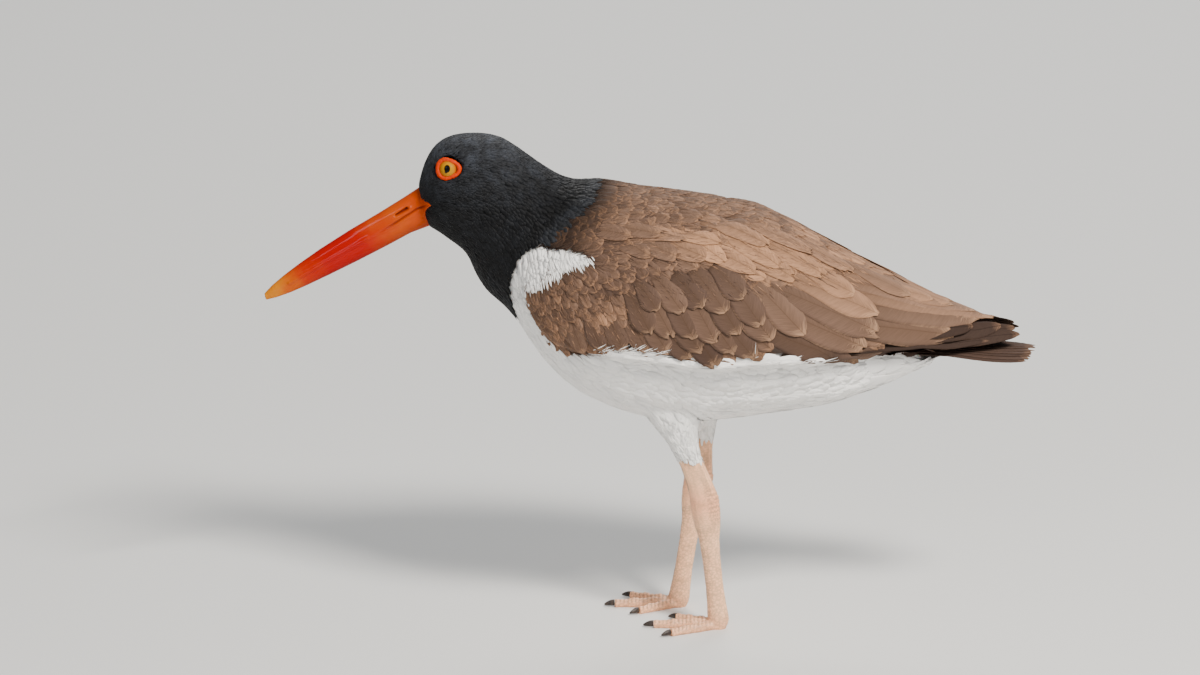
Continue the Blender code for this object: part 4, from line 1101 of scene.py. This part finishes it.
def makeTail():
    steps, count = 9, tailLook["count"]
    rng = np.random.default_rng(31)
    tipY = np.linspace(-tailLook["spread"], tailLook["spread"], count)
    t = np.linspace(0, 1, steps + 1)[:, None]
    endX = tailLook["tipX"] - tailLook["rounding"] * tipY ** 2
    x = tailLook["rootX"] + (endX - tailLook["rootX"])[None] * t
    y = tipY[None] * (tailLook["rootShare"] + (1 - tailLook["rootShare"]) * t)
    z = np.interp(x, [134.7, 144.7, 159.7, 174.7, 181.7, 187.7], [137.5, 138.2, 137.2, 136.0, 135.4, 134.8])
    z -= tailLook["arch"] * (y / tailLook["widest"]) ** 2
    z += tailLook["top"] - tailLook["layer"] * np.abs(np.arange(count) - (count - 1) / 2)[None]
    spot = np.stack([x, y, z], 2) * mm
    heading = unit(np.gradient(spot, axis=0))
    slope = np.stack([np.zeros_like(y), 2 * tailLook["arch"] * y / tailLook["widest"] ** 2, np.ones_like(y)], 2)
    normal = unit(slope - heading * (slope * heading).sum(2, keepdims=True))
    lengths = np.linalg.norm(np.diff(spot, axis=0), axis=2).sum(0)
    look = dict(largeLook, sink=0.0, lift=0.0, thick=tailLook["thick"], roll=0.0, fray=0.015, rootPaintedShade=0.9)
    # painted light: the tail gets a lighter copy of the flight colour (x1.4) against the shade it lies in under the
    # wing tips
    layFeathers("tail_feathers", shapes["broad"], [spot, normal, heading], lengths,
                np.full(count, tailLook["width"]) * mm, np.tile(plumage["flight"] * 1.4, (count, 1)), look, flightVanes,
                "dark_brown_plumage", rng, ("tail",))


makeTail()


# Undertail coverts: long soft white feathers that close the body off under the tail.
flankRow = rowOf([(845, 369, 905, 367, 10, 0.2, 0), (866, 359, 934, 359, 9, 0.5, 0), (850, 373, 915, 366, 10, 0.3, 0),
                  (868, 363, 928, 363, 9, 0.4, 0), (862, 364, 905, 360, 9, 0.4, 0)])


sideRow = rowOf([(868, 352, 934, 352, 6, 0.5, 0), (872, 355, 939, 355, 5, 0.3, 0)])


def makeUndertail():
    # painted light: the side feathers get a lighter copy of the flight colour (x1.3) against the shade under the
    # primaries
    layLarge("tail_side_feathers", sideRow, {"fray": 0.004, "thick": 0.15, "lift": 0.1}, flightVanes,
             "dark_brown_plumage", 36, wholeOutline, plumage["flight"] * 1.3)
    layLarge("flank_coverts", flankRow, {"fray": 0.004, "thick": 0.15, "lift": 0.1, "tone": 0.01, "rootPaintedShade": 0.97},
             whiteVanes, "white_plumage", 35, wholeOutline, plumage["white"])
    rng = np.random.default_rng(32)
    roots = [(x, y, 105 + 2.2 * max(abs(y) - 8, 0)) for x in (92, 100, 107, 114, 121, 127, 133)
             for y in np.linspace(-21, 21, 11) * (1 - (x - 92) / 110)]
    roots, _ = wholeOutline.settle(np.array(roots) * mm)
    lengths = rng.uniform(21, 27, len(roots)) * mm
    level = {"at": np.array([[900.0, 350.0]]), "heading": np.array([[1.0, 0.04]]), "size": np.ones((1, 4))}
    spine = spines(wholeOutline, roots, lengths, level, 7, 0.06 * rng.normal(0, 1, len(roots)))
    look = dict(largeLook, sink=1.4, lift=0.1, thick=0.2, arch=0.05, roll=0.0, tone=0.01, rootPaintedShade=0.97, fray=0.004,
                bend=0.02, atlas=False)
    layFeathers("undertail_coverts", shapes["blade"], spine, lengths, rng.uniform(8, 10, len(roots)) * mm,
                np.tile(plumage["white"], (len(roots), 1)), look, whiteVanes, "white_plumage", rng)


makeUndertail()


# Uppertail coverts: a few short white feathers that close the notch between the wing tips over the tail.
def makeUppertail():
    # the long dark ones lie on the tail's middle, under the shorter white ones
    rng = np.random.default_rng(34)
    rootY = np.array([-6, 6, -3, 3, 0, -5, 5, -2.5, 2.5, 0])
    long = np.arange(len(rootY)) < 5
    t = np.linspace(0, 1, 6)[:, None]
    x = 139 + (np.where(long, 35, 27) - 0.4 * np.abs(rootY))[None] * t
    y = rootY[None] * (1 - 0.15 * t)
    z = 145.4 - 2.6 * t - 0.02 * y ** 2 + 0.12 * np.arange(len(rootY))[None]
    spot = np.stack([x, y, z], 2) * mm
    heading = unit(np.gradient(spot, axis=0))
    normal = unit(np.array([0, 0, 1]) - heading * heading[:, :, 2:])
    look = dict(largeLook, sink=0.5, lift=0.1, arch=0.1, roll=0.0, tone=0.02, rootPaintedShade=0.8, fray=0.01, atlas=False)
    # painted shade and light: the white coverts are darkened (x0.8) in the notch, and the dark ones get a lighter copy
    # (x1.4) of the flight colour
    for name, picked, shade, material, slot in (
            ("uppertail_coverts", ~long, plumage["white"] * 0.8, whiteVanes, "white_plumage"),
            ("tail_base_feathers", long, plumage["flight"] * 1.4, flightVanes, "dark_brown_plumage")):
        spine = [part[:, picked] for part in (spot, normal, heading)]
        layFeathers(name, shapes["blade"], spine, np.where(long, 35.0, 27.0)[picked] * mm, np.full(5, 8.0) * mm,
                    np.tile(shade, (5, 1)), look, material, slot, rng)


makeUppertail()


# The thighs' feathers end raggedly over the bare shins.
def makeThighFringe():
    rng = np.random.default_rng(33)
    legs = Surface(remeshed("legs", mergedCopy(["thigh_left", "thigh_right", "shin_left", "shin_right"], 0.25 * mm),
                            0.9 * mm, 4))
    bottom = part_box("thigh_left")[0].z
    near = legs.places[np.abs(legs.places[:, 2] - bottom - 2.6 * mm) < 3.4 * mm]
    near = near[rng.permutation(len(near))[:420]]
    level = {"at": np.array([[690.0, 440.0]]), "heading": np.array([[0.22, -1.0]]), "size": np.ones((1, 4))}
    for name, shape, picked, width in (("thigh_fringe", "down", near[:260], 1.9), ("thigh_wisps", "tuft", near[260:], 0.7)):
        roots, _ = legs.settle(picked)
        lengths = rng.uniform(3.2, 5.6, len(roots)) * mm
        spine = spines(legs, roots, lengths, level, 3, 0.2 * rng.normal(0, 1, len(roots)))
        look = {"thick": 0.10, "lift": 0.30, "sink": 0.25, "arch": 0.04, "tone": 0.01, "rootPaintedShade": 1.0}
        layFeathers(name, shapes[shape], spine, lengths, width * np.exp(0.15 * rng.normal(0, 1, len(roots))) * mm,
                    np.tile(plumage["white"], (len(roots), 1)), look, whiteVanes, "white_plumage", rng)


makeThighFringe()


# The bill: waxy horn over bone, orange at the base, red in its middle and worn yellow at the tip.
billLook = {"voxel": 0.37 * mm, "smoothing": 4, "grown": 0.34 * mm, "shrunk": 0.2 * mm, "nostrilDepth": 1.6,
            "nostrilHalf": (0.7, 1.5), "lipDepth": 0.6, "lipHalf": 1.0, "ridge": 0.6, "ridgeHalf": 1.9, "hollow": 0.3,
            "hollowHalf": 5.0, "rootBack": 3.0, "wedgeOut": 0.4, "wedgeDeep": 1.5}
billStops = [(0.0, "#b43e00"), (0.16, "#b64600"), (0.3, "#ae2c00"), (0.42, "#a40200"), (0.62, "#a40100"),
             (0.73, "#ae2200"), (0.83, "#ba4c00"), (1.0, "#cc8000")]
mouthLine = [(427, 206.6), (418.3, 209.2), (395, 224.2), (381, 232.6)]
lowEdge = [(430, 226), (413, 230), (399, 238), (373, 254), (330, 276), (296, 291), (277, 299)]
# the gape's upper and lower edge on the side view, from the horn to its point on the cheek
gapeAbove = [(0, 415, 197), (0.55, 425.5, 200.3), (0.8, 429, 203.3), (1, 432, 206.2)]
gapeBelow = [(0, 415, 223), (0.45, 425, 220), (0.62, 425.6, 212.5), (0.8, 428, 209.3), (1, 432, 207.4)]


def billMaterial():
    # keratin horn: smooth and waxy, with a clear gloss
    made, tree, shader = newMaterial("waxy bill horn", Roughness=0.45, Coat_Weight=0.25, Coat_Roughness=0.1,
                                     Specular_IOR_Level=0.02)
    along = addNode(tree, "Attribute", attribute_name="along")
    place = addNode(tree, "TexCoord")
    cloud = addNode(tree, "TexNoise", {"Vector": place.outputs["Object"], "Scale": 130.0, "Detail": 3.0})
    sway = span(tree, cloud.outputs["Fac"], 0.3, 0.7, -0.05, 0.05)
    where = addNode(tree, "Math", {0: along.outputs["Fac"], 1: sway}, operation="ADD")
    ramp = addNode(tree, "ValToRGB", {"Fac": where.outputs[0]})
    stops = ramp.color_ramp.elements
    for number, (at, shade) in enumerate(billStops):
        stop = stops[number] if number < 2 else stops.new(at)
        stop.position, stop.color = at, (*linear(shade), 1)
    # specks of wear crowd towards the tip
    specks = addNode(tree, "TexNoise", {"Vector": place.outputs["Object"], "Scale": 1300.0, "Detail": 2.0})
    worn = span(tree, along.outputs["Fac"], 0.82, 0.97, 0.0, 1.0)
    pits = span(tree, specks.outputs["Fac"], 0.56, 0.66, 0.0, 0.7)
    share = addNode(tree, "Math", {0: worn, 1: pits}, operation="MULTIPLY")
    # painted shade: the nostril slit and the mouth line are darkened towards deep red, and the lower edge is darker too
    dark = addNode(tree, "Attribute", attribute_name="dark")
    colour = mixColour(tree, share.outputs[0], ramp.outputs["Color"], linear("#b8702a"))
    colour = mixColour(tree, dark.outputs["Fac"], colour, linear("#5a0a00"))
    tree.links.new(colour, shader.inputs["Base Color"])
    grain = addNode(tree, "TexNoise", {"Vector": place.outputs["Object"], "Scale": 700.0, "Detail": 3.0})
    relief = addNode(tree, "Bump", {"Height": grain.outputs["Fac"], "Strength": 0.1, "Distance": 0.0001})
    tree.links.new(relief.outputs["Normal"], shader.inputs["Normal"])
    return made


def alongLine(edge, share):
    table = np.array(edge)
    return np.array([np.interp(share, table[:, 0], table[:, k]) for k in (1, 2)])


def fromLine(view, line):
    return np.min([fromSegment(view, start, end) for start, end in zip(line, line[1:])], 0)


def addGape(made):
    # a wedge of bare skin that runs back from the bill's corner on each cheek, joined on as a solid patch
    face = Surface(remeshed("face", mergedCopy(["head", "bill_upper", "bill_lower"], guideLook["grown"]), 0.7 * mm, 2))
    patch = bmesh.new()
    bmesh.ops.create_grid(patch, x_segments=14, y_segments=10, size=1)
    bmesh.ops.solidify(patch, geom=patch.faces[:], thickness=1.0)
    lowest = min(vert.co.z for vert in patch.verts)
    for vert in patch.verts:
        u, v = vert.co.x * 0.5 + 0.5, vert.co.y * 0.5 + 0.5
        above, below = alongLine(gapeAbove, u), alongLine(gapeBelow, u)
        found, normal = face.settle(face.underView(*(above + (below - above) * v))[None])
        out = billLook["wedgeOut"] - 0.35 * (2 * v - 1) ** 4 - 1.2 * (1 - u) ** 2
        if vert.co.z < lowest + 0.5:
            out -= billLook["wedgeDeep"]
        vert.co = Vector(found[0] + normal[0] * out * mm)
    bmesh.ops.mirror(patch, geom=patch.verts[:] + patch.edges[:] + patch.faces[:], axis="Y", merge_dist=0.0)
    bmesh.ops.recalc_face_normals(patch, faces=patch.faces)
    mesh = bpy.data.meshes.new("gape")
    patch.to_mesh(mesh)
    patch.free()
    made.from_mesh(mesh)


def alongBill(places):
    base, tip = np.array([-112.0, 209.0]), np.array([-187.7, 163.0])
    return ((places[:, [0, 2]] / mm - base) @ (tip - base)) / ((tip - base) @ (tip - base))


def makeBill():
    material = billMaterial()
    made = mergedCopy(["bill_upper", "bill_lower"], billLook["grown"])
    for vert in made.verts:
        behind = float(smoothStep(0.2, -0.02, alongBill(np.array([vert.co]))[0])) * billLook["rootBack"] * mm
        vert.co += Vector((1, 0, 0.3)) * behind
    addGape(made)
    mesh = remeshed("bill", made, billLook["voxel"], billLook["smoothing"])
    places, normals = meshArrays(mesh)
    places -= normals * billLook["shrunk"]
    along = alongBill(places)
    view = onView(places)
    side = np.sign(places[:, 1]) * np.minimum(np.abs(places[:, 1]) / (2.0 * mm), 1)
    # nostril, mouth line, and the long ridge with its hollow above
    narrow = np.interp(view[:, 0], [396, 407], billLook["nostrilHalf"])
    nostril = np.exp(-(fromSegment(view, (396.5, 216), (407.5, 209.6)) / narrow) ** 2)
    mouth = np.exp(-(fromLine(view, mouthLine) / billLook["lipHalf"]) ** 2)
    mouth = mouth * smoothStep(376, 398, view[:, 0]) * smoothStep(430, 422, view[:, 0])
    hollow = np.exp(-(fromSegment(view, (360, 236), (412, 206)) / billLook["hollowHalf"]) ** 2)
    ridge = np.exp(-(fromSegment(view, (368, 239), (290, 283)) / billLook["ridgeHalf"]) ** 2)
    inwards = (billLook["nostrilDepth"] * nostril + billLook["lipDepth"] * mouth + billLook["hollow"] * hollow
               - billLook["ridge"] * ridge)
    places[:, 1] -= side * inwards * mm
    movedTo(mesh, places)
    numberAttribute(mesh, "along", np.clip(along, 0, 1))
    # the dark attribute: painted shade in the nostril and the mouth line, and a darker band along the lower edge
    low = 0.3 * np.exp(-(fromLine(view, lowEdge) / 4.5) ** 2) * smoothStep(285, 320, view[:, 0])
    numberAttribute(mesh, "dark", np.maximum(np.clip(1.5 * nostril - 0.3, 0, 0.95), np.clip(0.85 * mouth + low, 0, 0.8)))
    newPiece("bill_horn", mesh, material, "bill", "bill_upper", "bill_lower")
    mesh.calc_loop_triangles()
    print("bill:", len(mesh.loop_triangles), "triangles")


makeBill()


# Eyes: a wet cornea over a yellow iris and a dark pupil, inside a fleshy orange-red ring.
def irisMaterial():
    # the wet cornea gives one clear highlight over the iris
    made, tree, shader = newMaterial("wet cornea over iris", Roughness=0.5, Coat_Weight=0.4, Coat_Roughness=0.03,
                                     Coat_IOR=1.33, Specular_IOR_Level=0.05)
    gaze = addNode(tree, "Attribute", attribute_name="gaze")
    parts = addNode(tree, "SeparateXYZ", {0: gaze.outputs["Vector"]})
    flat = addNode(tree, "CombineXYZ", {0: parts.outputs["X"], 1: parts.outputs["Y"]})
    out = addNode(tree, "VectorMath", {0: flat.outputs[0]}, operation="LENGTH")
    ramp = addNode(tree, "ValToRGB", {"Fac": span(tree, out.outputs["Value"], 0.0, 5.0, 0.0, 1.0)})
    stops = ramp.color_ramp.elements
    rings = [(0.0, "#a87a00"), (0.3, "#b28200"), (0.62, "#ac7800"), (0.78, "#a45000"), (0.86, "#7a1e00"),
             (0.92, "#180a06")]
    for number, (at, shade) in enumerate(rings):
        stop = stops[number] if number < 2 else stops.new(at)
        stop.position, stop.color = at, (*linear(shade), 1)
    fibres = addNode(tree, "TexNoise", {"Vector": gaze.outputs["Vector"], "Scale": 2.2, "Detail": 4.0})
    shadow = span(tree, fibres.outputs["Fac"], 0.35, 0.65, 0.35, 0.0)
    colour = mixColour(tree, shadow, ramp.outputs["Color"], linear("#b06000"))
    # the pupil, with the dark fleck beside it that makes it look tall
    pupil = addNode(tree, "VectorMath", {0: flat.outputs[0], 1: (1.0, 0.78, 1.0)}, operation="MULTIPLY")
    middle = addNode(tree, "VectorMath", {0: pupil.outputs[0], 1: (0.0, 0.15, 0.0)}, operation="SUBTRACT")
    core = addNode(tree, "VectorMath", {0: middle.outputs[0]}, operation="LENGTH")
    fleckAt = addNode(tree, "VectorMath", {0: flat.outputs[0], 1: (-0.55, -1.35, 0.0)}, operation="SUBTRACT")
    fleck = addNode(tree, "VectorMath", {0: fleckAt.outputs[0]}, operation="LENGTH")
    hole = span(tree, core.outputs["Value"], 1.38, 1.55, 1.0, 0.0)
    spot = span(tree, fleck.outputs["Value"], 0.6, 0.9, 0.95, 0.0)
    both = addNode(tree, "Math", {0: hole, 1: spot}, operation="MAXIMUM")
    colour = mixColour(tree, both.outputs[0], colour, linear("#050403"))
    tree.links.new(colour, shader.inputs["Base Color"])
    return made


def ringMaterial():
    # bare fleshy skin with a fine grain and a soft shine
    made, tree, shader = newMaterial("orange eye ring skin", Roughness=0.45, Specular_IOR_Level=0.08)
    place = addNode(tree, "TexCoord")
    cloud = addNode(tree, "TexNoise", {"Vector": place.outputs["Object"], "Scale": 900.0, "Detail": 3.0})
    share = span(tree, cloud.outputs["Fac"], 0.35, 0.65, 0.0, 0.5)
    base = addNode(tree, "RGB")
    base.outputs[0].default_value = (*linear("#c03800"), 1)
    colour = mixColour(tree, share, base.outputs[0], linear("#b82000"))
    tree.links.new(colour, shader.inputs["Base Color"])
    relief = addNode(tree, "Bump", {"Height": cloud.outputs["Fac"], "Strength": 0.3, "Distance": 0.0002})
    tree.links.new(relief.outputs["Normal"], shader.inputs["Normal"])
    return made


def makeEyes():
    iris, flesh = irisMaterial(), ringMaterial()
    for side in sides:
        seat = eyeFrame(side)
        ball = bmesh.new()
        bmesh.ops.create_uvsphere(ball, u_segments=48, v_segments=32, radius=eyeLook["radius"] * mm)
        for vert in ball.verts:
            bulge = smoothStep(0.72, 1.0, vert.co.z / (eyeLook["radius"] * mm))
            vert.co += vert.co.normalized() * float(bulge) * 0.3 * mm
            held = min(1, eyeLook["socket"] * mm / max(math.hypot(vert.co.x, vert.co.y), 1e-9))
            vert.co = Vector((vert.co.x * held, vert.co.y * held, vert.co.z))
        mesh = bpy.data.meshes.new("eye_" + side)
        ball.to_mesh(mesh)
        ball.free()
        local = meshArrays(mesh)[0] / mm
        gaze = mesh.attributes.new("gaze", "FLOAT_VECTOR", "POINT")
        gaze.data.foreach_set("vector", local.astype(np.float32).ravel())
        mesh.transform(seat)
        if side == "right":
            mesh.flip_normals()
        newPiece("eyeball_" + side, mesh, iris, "eye", "eye_" + side)
        ring = bmesh.new()
        bmesh.ops.create_circle(ring, segments=14, radius=eyeLook["ringThick"],
                                matrix=Matrix.Translation((5, 0, 0)) @ Matrix.Rotation(math.pi / 2, 4, "X"))
        bmesh.ops.spin(ring, geom=ring.verts[:] + ring.edges[:], cent=(0, 0, 0), axis=(0, 0, 1),
                       angle=2 * math.pi, steps=96, use_merge=True)
        for vert in ring.verts:
            x, y, z = vert.co
            angle = math.atan2(y, x)
            fold = 1 + 0.05 * math.sin(17 * angle) + 0.05 * math.sin(7 * angle + 1)
            away = float(ringReach(np.array(angle))) + (math.hypot(x, y) - 5) * fold
            rise = eyeLook["ringOut"] + z * fold * 0.85 + 0.25 * math.cos(angle) - 0.03 * away * away * 0.3
            vert.co = Vector((math.cos(angle) * away, math.sin(angle) * away, rise)) * mm
        bmesh.ops.recalc_face_normals(ring, faces=ring.faces)
        mesh = bpy.data.meshes.new("eye_ring_" + side)
        ring.to_mesh(mesh)
        ring.free()
        mesh.transform(seat)
        if side == "right":
            mesh.flip_normals()
        newPiece("eye_ring_skin_" + side, mesh, flesh, "bare_skin", "eye_ring_" + side)


makeEyes()


# Claws: short blackish horn.
def makeClaws():
    # satin keratin, smooth from walking
    made, tree, shader = newMaterial("blackish claw horn", Roughness=0.4)
    place = addNode(tree, "TexCoord")
    cloud = addNode(tree, "TexNoise", {"Vector": place.outputs["Object"], "Scale": 900.0, "Detail": 3.0})
    base = addNode(tree, "RGB")
    base.outputs[0].default_value = (*linear("#1d1714"), 1)
    colour = mixColour(tree, span(tree, cloud.outputs["Fac"], 0.4, 0.65, 0.0, 0.7), base.outputs[0], linear("#4a3a30"))
    tree.links.new(colour, shader.inputs["Base Color"])
    for side in sides:
        for toe in ("inner", "middle", "outer"):
            node = f"claw_{toe}_{side}"
            mesh = remeshed(node, mergedCopy([node], 0.1 * mm), 0.22 * mm, 3)
            newPiece(node + "_horn", mesh, made, "claw", node)


makeClaws()


# Floor, light and camera.
def makeFloor():
    made = bmesh.new()
    bmesh.ops.create_grid(made, x_segments=1, y_segments=1, size=3.0)
    mesh = bpy.data.meshes.new("floor")
    made.to_mesh(mesh)
    made.free()
    floor = bpy.data.objects.new("floor", mesh)
    bpy.context.scene.collection.objects.link(floor)
    material, tree, shader = newMaterial("matt studio floor", Roughness=0.9)
    shader.inputs["Base Color"].default_value = (*linear("#dcdcda"), 1)
    mesh.materials.append(material)


def addLight(name, place, target, size, power, colour):
    lamp = bpy.data.lights.new(name, "AREA")
    lamp.energy, lamp.size, lamp.color = power, size, colour
    holder = bpy.data.objects.new(name, lamp)
    holder.location = place
    holder.rotation_euler = (Vector(target) - Vector(place)).to_track_quat("-Z", "Y").to_euler()
    bpy.context.scene.collection.objects.link(holder)


makeFloor()
middle = Vector((-24.22, 0, 142.2)) * mm
addLight("key", (0.9, -1.3, 1.7), middle, 0.5, 86, (1.0, 0.95, 0.88))
addLight("fill", (-1.0, -1.85, 1.05), middle, 0.45, 5, (0.9, 0.93, 1.0))
addLight("back", (0.3, 1.8, 1.6), middle, 1.2, 30, (1.0, 0.98, 0.95))
world = bpy.data.worlds.new("studio")
world.use_nodes = True
world.node_tree.nodes["Background"].inputs["Color"].default_value = (0.86, 0.9, 0.95, 1)
world.node_tree.nodes["Background"].inputs["Strength"].default_value = 0.34
bpy.context.scene.world = world

lens = {"focal": 300.0, "sensor": 36.0, "width": 585.6 * mm}
camera = bpy.data.objects.new("camera", bpy.data.cameras.new("camera"))
camera.data.lens, camera.data.sensor_width = lens["focal"], lens["sensor"]
away = Vector((0, -tiltCos, tiltSin)) * lens["width"] * lens["focal"] / lens["sensor"]
camera.location = middle + away
camera.rotation_euler = (-away).to_track_quat("-Z", "Y").to_euler()
camera.data.clip_end = 100
bpy.context.scene.collection.objects.link(camera)
bpy.context.scene.camera = camera
